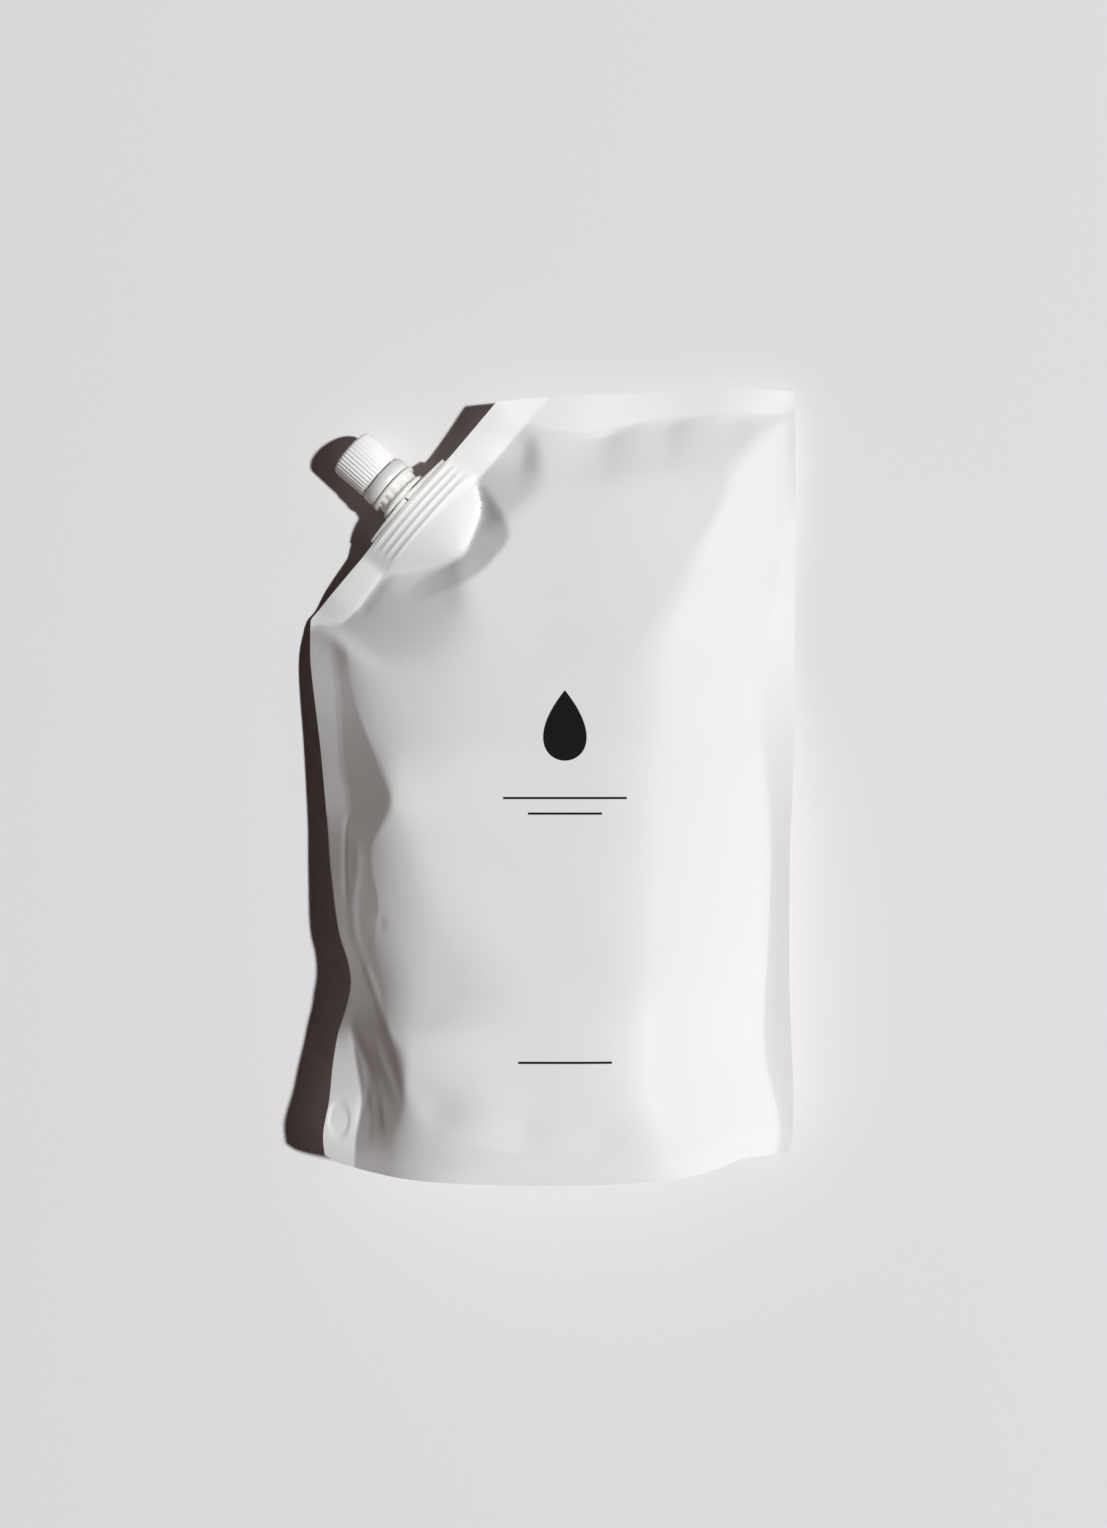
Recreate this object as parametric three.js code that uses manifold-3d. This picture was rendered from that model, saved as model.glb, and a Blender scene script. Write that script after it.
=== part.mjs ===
// A filled refill pouch of white film, lying on its back, with a spout and screw cap in a cut corner.
// Millimetres, +Z up out of the front panel, +Y from the bottom gusset to the top seal.
import * as THREE from "three";
import { mergeVertices } from "three/addons/utils/BufferGeometryUtils.js";
import Module from "manifold-3d";

const wasm = await Module();
wasm.setup();

// Pouch: outline as it lies filled
const POUCH_WIDTH = 162; // across the shoulders, edge to edge
const POUCH_LENGTH = 263; // middle of the bottom edge to the right end of the top edge
const CUT_ACROSS = 62.5; // cut corner, measured across the pouch
const CUT_DOWN = 71; // cut corner, measured down the pouch
const TOP_DROP = 5; // the top edge falls this much towards the cut corner
const FOOT_RISE = 9; // the bottom corners stand this far above the middle of the bottom edge
const GUSSET_HEIGHT = 65; // the side edges draw in most here, where the gusset is folded in
const LEFT_PINCH = 14;
const LEFT_FOOT_INSET = 5.5;
const RIGHT_PINCH = 2.4;
const RIGHT_FOOT_INSET = 2;

// Pouch: seals and heights above the table
const SEAL_THICKNESS = 0.4;
const SIDE_SEAL = 8;
const TOP_SEAL = 11;
const CUT_SEAL = 11;
const FILL_HEIGHT = 44; // crown of the filled front panel
const GUSSET_OPENING = 36; // front panel above the table at the bottom edge
const LEFT_FOOT_HEIGHT = 21; // heights of the seal itself, all round
const LEFT_GUSSET_HEIGHT = 19;
const LEFT_SHOULDER_HEIGHT = 5;
const TOP_LEFT_HEIGHT = 12;
const TOP_RIGHT_HEIGHT = 12;
const RIGHT_GUSSET_HEIGHT = 17;
const RIGHT_FOOT_HEIGHT = 20;
const HEEL_RISE = 3; // the back panel curls up this much at the bottom edge
const HEEL_REACH = 18;
const GUSSET_RECESS = 14; // depth of the fold tucked in between the two bottom edges
const FRONT_REACH = 43; // how far in from a side seal the front panel goes on rising
const TOP_REACH = 78;
const CUT_REACH = 48;
const BACK_REACH = 26; // how far in from a seal the back panel comes down on the table

// Spout: where it stands in the cut corner
const SPOUT_PLACE = 50.8; // along the cut, from the shoulder
const SPOUT_LIFT = 1.3; // table to the underside of a flange, measured at the film edge
const SPOUT_DROOP = THREE.MathUtils.degToRad(3);

// Spout: boat welded between the panels
const BOAT_LENGTH = 35;
const BOAT_WALL = 1.3; // beside the bore, at the middle of the boat
const BOAT_DEPTH = 8.2; // below the film edge
const BOAT_RISE = 1.2; // bare, above the film edge
const BOAT_TIP = 1.2; // thickness at its two ends
const BOAT_RIB = 0.5;
const BOAT_RIB_COUNT = 4;
const FILM_OVER_BOAT = 0.5;
const CONE_LENGTH = 24; // the film runs down from the boat to the front panel over this length

// Spout: neck, built up outward from the boat
const BORE_RADIUS = 4.9;
const NECK_WALL = 1.1;
const FLANGE_WIDTH = 3.2; // beyond the neck
const FLANGE_THICKNESS = 1.2;
const FLANGE_FOOT = 0.7; // bare neck between the boat and the lower flange
const RIBBED_NECK = 3.2; // between the two flanges
const NECK_RIB = 0.5;
const NECK_RIB_COUNT = 16;
const NECK_LIP = 2.4; // plain mouth above the thread
const BEAD_HEIGHT = 1.2; // bead that holds the tamper band
const BEAD_DEPTH = 1.6;

// Thread, cap, band and liner
const CLEARANCE = 0.3;
const THREAD_PITCH = 3;
const THREAD_DEPTH = 0.85;
const THREAD_ROOT_WIDTH = 1.5;
const THREAD_CREST_WIDTH = 0.8;
const THREAD_TURNS = 2;
const THREAD_LEAD = 2.2; // from the rim of the cap to the start of the thread
const CAP_WALL = 1.05;
const CAP_TOP = 1.1;
const CAP_RIB = 0.4;
const CAP_RIB_COUNT = 40;
const CAP_ROUNDING = 1.3;
const CAP_PLAIN_RIM = 0.4;
const LINER_THICKNESS = 1;
const LINER_INSET = 0.5; // smaller than the bore of the cap, by this much all round
const BAND_HEIGHT = 4.2;
const BAND_WALL = 1;
const BAND_LIP_HEIGHT = 1;
const BAND_FOOT_GAP = 0.5; // between the upper flange and the band
const BAND_GAP = 0.6; // between the band and the rim of the cap
const BRIDGE_COUNT = 8;
const BRIDGE_SIZE = 0.8;

// Fineness of the round and the filled faces
const ROUND_STEPS = 36;
const LENS_STEPS = 12;
const POUCH_COLUMNS = 18;
const BODY_ROWS = 22;
const CUT_ROWS = 11;
const ROUNDING_STEPS = 3;

// Sizes that follow
const shoulderY = POUCH_LENGTH - TOP_DROP - CUT_DOWN;
const topLeftY = POUCH_LENGTH - TOP_DROP;
const shoulderX = -POUCH_WIDTH / 2;
const rightX = POUCH_WIDTH / 2;
const cutAngle = Math.atan2(CUT_DOWN, CUT_ACROSS);
const cutLength = Math.hypot(CUT_ACROSS, CUT_DOWN);
const neckRadius = BORE_RADIUS + NECK_WALL;
const flangeRadius = neckRadius + FLANGE_WIDTH;
const boatThickness = 2 * (BORE_RADIUS + BOAT_WALL);
const spoutHeight = flangeRadius + SPOUT_LIFT;
const beadRadius = neckRadius + BEAD_DEPTH;
const bandBoreRadius = beadRadius + CLEARANCE;
const bandRadius = bandBoreRadius + BAND_WALL;
const bandLipRadius = (neckRadius + beadRadius) / 2;
const capBoreRadius = neckRadius + THREAD_DEPTH + CLEARANCE;
const capRadius = capBoreRadius + CAP_WALL;

// Stations along the spout axis, outward from the film edge
const lowerFlangeStart = BOAT_RISE + FLANGE_FOOT;
const upperFlangeStart = lowerFlangeStart + FLANGE_THICKNESS + RIBBED_NECK;
const bandStart = upperFlangeStart + FLANGE_THICKNESS + BAND_FOOT_GAP;
const bandEnd = bandStart + BAND_HEIGHT;
const beadStart = bandStart + BAND_LIP_HEIGHT + CLEARANCE;
const capStart = bandEnd + BAND_GAP;
const threadStart = capStart + THREAD_LEAD;
const neckEnd = threadStart + THREAD_TURNS * THREAD_PITCH + NECK_LIP;
const linerStart = neckEnd + CLEARANCE;
const capCeiling = linerStart + LINER_THICKNESS + CLEARANCE;
const capEnd = capCeiling + CAP_TOP;

// Smooth curve through hand-set stations, read off at any place along them
function smoothLine(stations) {
  const places = stations.map(([place]) => place);
  const values = stations.map(([, value]) => value);
  const curve = new THREE.CubicInterpolant(places, values, 1);
  return (place) => curve.evaluate(place)[0];
}

// Closed solid through rings of equal length. Each ring runs left to right over the top and back below.
function loft(rings) {
  const count = rings[0].length;
  const last = (rings.length - 1) * count;
  const triangles = [];
  const quad = (a, b, c, d) => triangles.push(a, b, c, a, c, d);
  for (let start = 0; start < last; start += count) {
    for (let i = 0; i < count; i++) {
      const next = (i + 1) % count;
      quad(start + i, start + next, start + count + next, start + count + i);
    }
  }
  for (let i = 0; i + 1 < count / 2; i++) {
    const below = count - 1 - i;
    quad(i, below, below - 1, i + 1);
    quad(last + i, last + i + 1, last + below - 1, last + below);
  }
  const geometry = new THREE.BufferGeometry();
  geometry.setFromPoints(rings.flat());
  geometry.setIndex(triangles);
  return geometry;
}

// Solid for joining and cutting, from a closed geometry
function solidOf(geometry) {
  const bare = geometry.clone();
  bare.deleteAttribute("normal");
  bare.deleteAttribute("uv");
  const merged = mergeVertices(bare);
  const corners = Array.from(merged.index.array);
  const kept = [];
  for (let i = 0; i < corners.length; i += 3) {
    const [a, b, c] = corners.slice(i, i + 3);
    if (a !== b && b !== c && c !== a) kept.push(a, b, c);
  }
  const vertProperties = new Float32Array(merged.attributes.position.array);
  const triVerts = new Uint32Array(kept);
  return new wasm.Manifold(new wasm.Mesh({ numProp: 3, vertProperties, triVerts }));
}

function geometryOf(solid) {
  const mesh = solid.getMesh();
  const geometry = new THREE.BufferGeometry();
  geometry.setAttribute("position", new THREE.BufferAttribute(mesh.vertProperties, 3));
  geometry.setIndex(new THREE.BufferAttribute(mesh.triVerts, 1));
  return geometry;
}

// Body of revolution about the spout axis, from [radius, height] corners of its half section
function turned(section) {
  const corners = section.map(([radius, height]) => new THREE.Vector2(radius, height));
  return solidOf(new THREE.LatheGeometry(corners, ROUND_STEPS));
}

// Plain cylinder along the spout axis
function rod(radius, start, end) {
  return turned([
    [0, start],
    [radius, start],
    [radius, end],
    [0, end],
  ]);
}

// Ring of upright ribs, as a loop around the spout axis
function ribbedRing(radius, rib, ribCount, height) {
  const pattern = [0, 1, 1, 0];
  const count = ribCount * pattern.length;
  return Array.from({ length: count }, (_, i) => {
    const angle = Math.PI - (2 * Math.PI * (i + 0.5)) / count;
    const reach = radius + rib * pattern[i % pattern.length];
    return new THREE.Vector3(reach * Math.cos(angle), height, reach * Math.sin(angle));
  });
}

// Helical ridge of a right-hand thread, between a root radius and a crest radius
function helicalRidge(rootRadius, crestRadius, start) {
  const steps = Math.round(THREAD_TURNS * ROUND_STEPS);
  const inner = Math.min(rootRadius, crestRadius);
  const outer = Math.max(rootRadius, crestRadius);
  const innerHalf = (rootRadius < crestRadius ? THREAD_ROOT_WIDTH : THREAD_CREST_WIDTH) / 2;
  const outerHalf = (rootRadius < crestRadius ? THREAD_CREST_WIDTH : THREAD_ROOT_WIDTH) / 2;
  const rings = Array.from({ length: steps + 1 }, (_, i) => {
    const turn = (2 * Math.PI * i) / ROUND_STEPS;
    const height = start + (THREAD_PITCH * i) / ROUND_STEPS;
    const at = (radius, lift) =>
      new THREE.Vector3(radius * Math.sin(turn), height + lift, radius * Math.cos(turn));
    return [at(inner, innerHalf), at(outer, outerHalf), at(outer, -outerHalf), at(inner, -innerHalf)];
  });
  return solidOf(loft(rings));
}

// Lens-shaped section of the boat, grown all round, at a height along the spout axis
function lensRing(length, thickness, tip, grow, height) {
  const halfLength = length / 2 + grow;
  const halfTip = tip / 2 + grow;
  const bulge = (thickness - tip) / 2;
  const upper = Array.from({ length: LENS_STEPS + 1 }, (_, i) => {
    const across = (2 * i) / LENS_STEPS - 1;
    return new THREE.Vector3(across * halfLength, height, halfTip + bulge * (1 - across * across));
  });
  const lower = upper.map((p) => new THREE.Vector3(p.x, p.y, -p.z)).reverse();
  return [...upper, ...lower];
}

const boatRing = (grow, height) => lensRing(BOAT_LENGTH, boatThickness, BOAT_TIP, grow, height);

// Edges of the pouch in plan, and the height of the seal along them
const leftInset = smoothLine([
  [FOOT_RISE, LEFT_FOOT_INSET],
  [GUSSET_HEIGHT, LEFT_PINCH],
  [(GUSSET_HEIGHT + shoulderY) / 2, LEFT_PINCH * 0.4],
  [shoulderY, 0],
]);
const rightInset = smoothLine([
  [FOOT_RISE, RIGHT_FOOT_INSET],
  [GUSSET_HEIGHT, RIGHT_PINCH],
  [shoulderY, 0],
  [POUCH_LENGTH, 0],
]);
const leftSealHeight = smoothLine([
  [FOOT_RISE, LEFT_FOOT_HEIGHT],
  [GUSSET_HEIGHT, LEFT_GUSSET_HEIGHT],
  [(GUSSET_HEIGHT + shoulderY) / 2, (LEFT_GUSSET_HEIGHT + LEFT_SHOULDER_HEIGHT) / 2],
  [shoulderY, LEFT_SHOULDER_HEIGHT],
]);
const rightSealHeight = smoothLine([
  [FOOT_RISE, RIGHT_FOOT_HEIGHT],
  [GUSSET_HEIGHT, RIGHT_GUSSET_HEIGHT],
  [POUCH_LENGTH, TOP_RIGHT_HEIGHT],
]);
const cutSealHeight = smoothLine([
  [0, LEFT_SHOULDER_HEIGHT],
  [SPOUT_PLACE - BOAT_LENGTH / 2, spoutHeight],
  [SPOUT_PLACE + BOAT_LENGTH / 2, spoutHeight],
  [cutLength, TOP_LEFT_HEIGHT],
]);
const crownHeight = smoothLine([
  [0, GUSSET_OPENING],
  [GUSSET_HEIGHT / 2, FILL_HEIGHT * 0.97],
  [GUSSET_HEIGHT, FILL_HEIGHT],
  [(GUSSET_HEIGHT + shoulderY) / 2, FILL_HEIGHT * 0.95],
  [shoulderY, FILL_HEIGHT * 0.85],
  [POUCH_LENGTH, FILL_HEIGHT * 0.7],
]);

function leftEdge(y) {
  if (y <= shoulderY) {
    return new THREE.Vector3(shoulderX + leftInset(y), y, leftSealHeight(y));
  }
  const along = (y - shoulderY) / CUT_DOWN;
  return new THREE.Vector3(shoulderX + along * CUT_ACROSS, y, cutSealHeight(along * cutLength));
}

function rightEdge(y) {
  return new THREE.Vector3(rightX - rightInset(y), y, rightSealHeight(y));
}

// Rise of a panel from 0 in a seal to 1 where it is fully filled
function rise(distance, seal, reach) {
  const along = THREE.MathUtils.clamp((distance - seal) / reach, 0, 1);
  return 1 - (1 - along) ** 2;
}

// Distances from a point to the left, right, cut and top edges
function edgeDistances(point) {
  const cutX = (point.x - shoulderX) * Math.sin(cutAngle);
  const cutY = (shoulderY - point.y) * Math.cos(cutAngle);
  const topFall = (TOP_DROP * (rightX - point.x)) / (POUCH_WIDTH - CUT_ACROSS);
  const left = point.x - shoulderX - (point.y < shoulderY ? leftInset(point.y) : 0);
  const right = rightX - rightInset(point.y) - point.x;
  return { left, right, cut: cutX + cutY, top: POUCH_LENGTH - topFall - point.y };
}

// Front and back of the pouch above a point that lies at the height of the seal
function panelsAt(point) {
  const { left, right, cut, top } = edgeDistances(point);
  const filled = (side, topReach, cutReach) =>
    rise(left, SIDE_SEAL, side) * rise(right, SIDE_SEAL, side) *
    rise(top, TOP_SEAL, topReach) * rise(cut, CUT_SEAL, cutReach);
  const front = filled(FRONT_REACH, TOP_REACH, CUT_REACH);
  const back = filled(BACK_REACH, BACK_REACH, BACK_REACH);
  const heel = HEEL_RISE * back * (1 - rise(point.y, 0, HEEL_REACH));
  const sealTop = point.z + SEAL_THICKNESS / 2;
  const sealBottom = point.z - SEAL_THICKNESS / 2;
  const crown = Math.max(crownHeight(point.y), sealTop);
  return { top: sealTop + (crown - sealTop) * front, bottom: sealBottom * (1 - back) + heel };
}

// One row of the pouch from edge to edge; along runs from 0 at the bottom edge to 1 at the top
function pouchRow(along) {
  const left = leftEdge(FOOT_RISE + along * (topLeftY - FOOT_RISE));
  const right = rightEdge(FOOT_RISE + along * (POUCH_LENGTH - FOOT_RISE));
  const width = right.x - left.x;
  const leftSeal = (left.y > shoulderY ? CUT_SEAL / Math.sin(cutAngle) : SIDE_SEAL) / width;
  const rightSeal = 1 - SIDE_SEAL / width;
  const inner = Array.from({ length: POUCH_COLUMNS + 1 }, (_, i) =>
    THREE.MathUtils.lerp(leftSeal, rightSeal, i / POUCH_COLUMNS));
  return [0, ...inner, 1].map((across) => {
    const point = left.clone().lerp(right, across);
    point.y -= FOOT_RISE * (1 - Math.abs(2 * across - 1) ** 3) * (1 - along) ** 4;
    return { point, ...panelsAt(point) };
  });
}

const ringOf = (row) => [
  ...row.map(({ point, top }) => new THREE.Vector3(point.x, point.y, top)),
  ...row.map(({ point, bottom }) => new THREE.Vector3(point.x, point.y, bottom)).reverse(),
];

// The gusset fold: the bottom row pushed in, with its front and back brought together
function gussetRing(row) {
  const deepest = Math.max(...row.map(({ top, bottom }) => top - bottom));
  return ringOf(row.map(({ point, top, bottom }) => {
    const middle = (top + bottom) / 2;
    const opening = (top - bottom - SEAL_THICKNESS) / deepest;
    const pushed = point.clone().setY(point.y + GUSSET_RECESS * opening);
    return { point: pushed, top: middle + SEAL_THICKNESS / 2, bottom: middle - SEAL_THICKNESS / 2 };
  }));
}

function pouchSolid(spoutMatrix) {
  const shoulderRow = (shoulderY - FOOT_RISE) / (topLeftY - FOOT_RISE);
  const sealRow = 1 - TOP_SEAL / (POUCH_LENGTH - FOOT_RISE);
  const bodyRows = Array.from({ length: BODY_ROWS }, (_, i) => (shoulderRow * i) / BODY_ROWS);
  const cutRows = Array.from({ length: CUT_ROWS + 1 }, (_, i) =>
    THREE.MathUtils.lerp(shoulderRow, sealRow, i / CUT_ROWS));
  const rows = [...bodyRows, ...cutRows, 1].map(pouchRow);
  const pillow = solidOf(loft([gussetRing(rows[0]), ...rows.map(ringOf)]));

  const sleeveGrow = BOAT_RIB + CLEARANCE + FILM_OVER_BOAT;
  const sleeve = loft([
    lensRing(BOAT_LENGTH / 2, boatThickness / 2, BOAT_TIP, 0, -CONE_LENGTH),
    boatRing(sleeveGrow, -BOAT_DEPTH - CLEARANCE - FILM_OVER_BOAT),
    boatRing(sleeveGrow, 0),
  ]);
  const pocket = loft([
    boatRing(BOAT_RIB + CLEARANCE, -BOAT_DEPTH - CLEARANCE),
    boatRing(BOAT_RIB + CLEARANCE, neckEnd),
  ]);
  const placed = (geometry) => solidOf(geometry.applyMatrix4(spoutMatrix));
  return pillow.add(placed(sleeve)).subtract(placed(pocket));
}

function spoutSolid() {
  // Ribs and grooves alternate up the boat, a rib at each end
  const levels = 2 * BOAT_RIB_COUNT - 1;
  const levelHeight = (BOAT_DEPTH + BOAT_RISE) / levels;
  const rings = Array.from({ length: levels }, (_, i) => {
    const grow = i % 2 === 0 ? BOAT_RIB : 0;
    const base = -BOAT_DEPTH + i * levelHeight;
    return [boatRing(grow, base), boatRing(grow, base + levelHeight)];
  });
  const boat = solidOf(loft(rings.flat()));
  const flange = (start) => rod(flangeRadius, start, start + FLANGE_THICKNESS);
  const ribbed = (height) => ribbedRing(neckRadius, NECK_RIB, NECK_RIB_COUNT, height);
  const bead = turned([
    [0, beadStart],
    [beadRadius, beadStart],
    [beadRadius, beadStart + BEAD_HEIGHT / 2],
    [neckRadius, beadStart + BEAD_HEIGHT],
    [0, beadStart + BEAD_HEIGHT],
  ]);
  const neckRibs = solidOf(loft([
    ribbed(lowerFlangeStart + FLANGE_THICKNESS / 2),
    ribbed(upperFlangeStart + FLANGE_THICKNESS / 2),
  ]));
  const thread = helicalRidge(neckRadius - CLEARANCE, neckRadius + THREAD_DEPTH, threadStart);
  return boat
    .add(rod(neckRadius, 0, neckEnd))
    .add(flange(lowerFlangeStart))
    .add(flange(upperFlangeStart))
    .add(neckRibs)
    .add(bead)
    .add(thread)
    .subtract(rod(BORE_RADIUS, -2 * BOAT_DEPTH, 2 * neckEnd));
}

function capSolid() {
  const ring = (radius, rib, height) => ribbedRing(radius, rib, CAP_RIB_COUNT, height);
  const rounding = Array.from({ length: ROUNDING_STEPS + 1 }, (_, i) => {
    const turn = (Math.PI / 2) * (i / ROUNDING_STEPS);
    const radius = capRadius - CAP_ROUNDING * (1 - Math.cos(turn));
    const rib = CAP_RIB * (1 - i / ROUNDING_STEPS);
    return ring(radius, rib, capEnd - CAP_ROUNDING * (1 - Math.sin(turn)));
  });
  const outside = loft([
    ring(capRadius, 0, capStart),
    ring(capRadius, 0, capStart + CAP_PLAIN_RIM),
    ring(capRadius, CAP_RIB, capStart + 2 * CAP_PLAIN_RIM),
    ...rounding,
  ]);
  const groove = threadStart + THREAD_PITCH / 2;
  return solidOf(outside)
    .subtract(rod(capBoreRadius, capStart - CAP_WALL, capCeiling))
    .add(helicalRidge(capBoreRadius + CLEARANCE, neckRadius + CLEARANCE, groove));
}

function bandSolid() {
  const ring = turned([
    [bandLipRadius, bandStart],
    [bandRadius, bandStart],
    [bandRadius, bandEnd],
    [bandBoreRadius, bandEnd],
    [bandBoreRadius, bandStart + BAND_LIP_HEIGHT],
    [bandLipRadius, bandStart + BAND_LIP_HEIGHT],
    [bandLipRadius, bandStart],
  ]);
  const bridgeHeight = BAND_GAP - CLEARANCE;
  const bridges = Array.from({ length: BRIDGE_COUNT }, (_, i) => {
    const bridge = new THREE.BoxGeometry(BRIDGE_SIZE, 2 * bridgeHeight, BAND_WALL / 2);
    bridge.translate(0, bandEnd, (bandBoreRadius + bandRadius) / 2);
    return solidOf(bridge.rotateY((2 * Math.PI * i) / BRIDGE_COUNT));
  });
  return bridges.reduce((whole, bridge) => whole.add(bridge), ring);
}

function linerSolid() {
  return rod(capBoreRadius - LINER_INSET, linerStart, linerStart + LINER_THICKNESS);
}

function piece(name, solid, material) {
  const mesh = new THREE.Mesh(geometryOf(solid), new THREE.MeshStandardMaterial(material));
  mesh.name = name;
  return mesh;
}

// Spout group: its +Y is the spout axis, pointing out of the film, and its +X runs up along the cut
const spoutGroup = new THREE.Group();
spoutGroup.position.set(
  shoulderX + SPOUT_PLACE * Math.cos(cutAngle),
  shoulderY + SPOUT_PLACE * Math.sin(cutAngle),
  spoutHeight,
);
spoutGroup.rotation.set(-SPOUT_DROOP, 0, cutAngle, "ZYX");
spoutGroup.updateMatrix();
spoutGroup.add(
  piece("spout", spoutSolid(), { color: 0xefece6, roughness: 0.35, metalness: 0 }),
  piece("tamper_band", bandSolid(), { color: 0xf4f3f0, roughness: 0.4, metalness: 0 }),
  piece("cap_liner", linerSolid(), { color: 0xe9e8e4, roughness: 0.7, metalness: 0 }),
  piece("cap", capSolid(), { color: 0xf5f4f1, roughness: 0.4, metalness: 0 }),
);

// The whole pack, with its origin on the table under the middle of its outline
const pack = new THREE.Group();
pack.add(
  piece("pouch", pouchSolid(spoutGroup.matrix), { color: 0xf1f0ee, roughness: 0.5, metalness: 0 }),
  spoutGroup,
);
const box = new THREE.Box3().setFromObject(pack, true);
const middle = box.getCenter(new THREE.Vector3());
pack.position.set(-middle.x, -middle.y, -box.min.z);

export default pack;
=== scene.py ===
# %% [markdown]
# # A filled refill pouch lying on its back
# The pouch is two panels of white laminated film, welded along their edges, with a folded gusset at
# the foot and a moulded spout in a cut corner. Soap pushes the film up into one soft swell, and it
# creases where it has nowhere to go. The measured model is loaded first, because it fixes where
# every piece is. The pack's lengths are in millimetres, the lamp's and the floor's in metres.

# %% Load the measured model
import math

import bpy
import numpy as np
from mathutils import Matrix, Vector


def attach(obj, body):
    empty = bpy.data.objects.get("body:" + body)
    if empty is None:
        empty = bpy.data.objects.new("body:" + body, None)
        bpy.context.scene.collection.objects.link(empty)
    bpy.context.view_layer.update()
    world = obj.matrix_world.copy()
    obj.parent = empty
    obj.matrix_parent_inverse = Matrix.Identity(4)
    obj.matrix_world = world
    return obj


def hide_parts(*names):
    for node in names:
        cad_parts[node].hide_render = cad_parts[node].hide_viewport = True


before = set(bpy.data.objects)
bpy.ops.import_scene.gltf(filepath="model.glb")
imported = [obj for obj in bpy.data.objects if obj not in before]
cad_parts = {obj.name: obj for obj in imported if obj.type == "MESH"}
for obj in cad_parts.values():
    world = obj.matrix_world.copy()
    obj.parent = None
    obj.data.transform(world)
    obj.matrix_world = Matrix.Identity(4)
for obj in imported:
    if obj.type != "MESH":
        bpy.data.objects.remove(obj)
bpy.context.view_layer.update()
MM = 0.001
print("measured pieces:", sorted(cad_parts))

# %% [markdown]
# ## Camera
# The picture was taken from straight above. A camera in Blender looks along -Z with +Y up in the
# image, so it needs no rotation. The lens follows from how much of the table the picture spans at
# the height of the seams, and from how far away the camera hangs.

# %% Camera
IMAGE_HEIGHT = 1528
MM_PER_PIXEL = 0.331
SEAM_LEVEL = 12
CAMERA_DISTANCE = 850
CAMERA_PLACE = (0.33, 6.95)
SENSOR_WIDTH = 36

camera = bpy.data.objects.new("camera", bpy.data.cameras.new("camera"))
bpy.context.scene.collection.objects.link(camera)
camera.location = Vector((*CAMERA_PLACE, SEAM_LEVEL + CAMERA_DISTANCE)) * MM
camera.data.sensor_width = SENSOR_WIDTH
camera.data.lens = SENSOR_WIDTH * CAMERA_DISTANCE / (IMAGE_HEIGHT * MM_PER_PIXEL)
bpy.context.scene.camera = camera
bpy.context.scene.view_settings.view_transform = "Standard"
print(f"camera lens {camera.data.lens:.1f} mm")

# %% [markdown]
# ## Lamp
# One fairly small lamp stands far off to the right and high up, a touch nearer to the foot than to
# the top, so the swell is dark on its left and throws a firm shadow. A sun lamp could do this too;
# a disk at a real distance is chosen because its light also falls off a little from right to left.

# %% Lamp
LAMP_DISTANCE = 12
LAMP_HEIGHT_ANGLE = math.radians(55)
LAMP_TURN = math.radians(-3.0)
LAMP_SIZE = 0.64
LAMP_STRENGTH = 3.345
LAMP_COLOUR = (0.97, 0.986, 0.991)


def pointing(turn, height):
    """The unit vector at an angle from +X towards +Y, lifted by a height angle."""
    level = math.cos(height)
    return Vector((math.cos(turn) * level, math.sin(turn) * level, math.sin(height)))


lamp = bpy.data.objects.new("lamp", bpy.data.lights.new("lamp", "AREA"))
bpy.context.scene.collection.objects.link(lamp)
lamp.data.shape = "DISK"
lamp.data.size = LAMP_SIZE
lamp.data.color = LAMP_COLOUR
lamp.data.energy = LAMP_STRENGTH * math.pi * LAMP_DISTANCE**2
lamp.location = pointing(LAMP_TURN, LAMP_HEIGHT_ANGLE) * LAMP_DISTANCE
lamp.rotation_euler = lamp.location.to_track_quat("Z", "Y").to_euler()
print(f"lamp of {lamp.data.energy:.0f} W")

# %% [markdown]
# ## Helpers that wire nodes
# Materials and the world are small networks of nodes. Three helpers keep them short: they feed a
# socket, make a Math node and mix two colours. The last one tells kinds of ray apart with a Light
# Path node, so that a thing can look one way and light its neighbours another.

# %% Helpers that wire nodes
def feed(tree, socket, value):
    """Links a socket to another one, or sets it to a plain value."""
    if isinstance(value, bpy.types.NodeSocket):
        tree.links.new(value, socket)
    else:
        socket.default_value = value


def math_node(tree, operation, *values):
    """A Math node fed by sockets or plain numbers; gives its output."""
    node = tree.nodes.new("ShaderNodeMath")
    node.operation = operation
    for socket, value in zip(node.inputs, values):
        feed(tree, socket, value)
    return node.outputs[0]


def mix_colour(tree, share, first, second):
    """A Mix node for colours, fed by sockets or plain colours; gives its output."""
    node = tree.nodes.new("ShaderNodeMix")
    node.data_type = "RGBA"
    feed(tree, node.inputs["Factor"], share)
    feed(tree, node.inputs["A"], first)
    feed(tree, node.inputs["B"], second)
    return node.outputs["Result"]


def seen_straight(tree):
    """A mask that is 1 for rays from the camera, off a glossy surface or through a clear one."""
    path = tree.nodes.new("ShaderNodeLightPath")
    mask = path.outputs["Is Camera Ray"]
    for kind in ("Is Glossy Ray", "Is Transmission Ray"):
        mask = math_node(tree, "MAXIMUM", mask, path.outputs[kind])
    return mask


print("node helpers ready")

# %% [markdown]
# ## World
# A room sends back a weak, warm fill, which lights what the lamp can't reach. A world that dark
# would give low views a black background, so rays that look straight at it see a pale one.

# %% World
FILL = (0.025, 0.012, 0.009)
BACKGROUND = (0.73, 0.715, 0.725)

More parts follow.
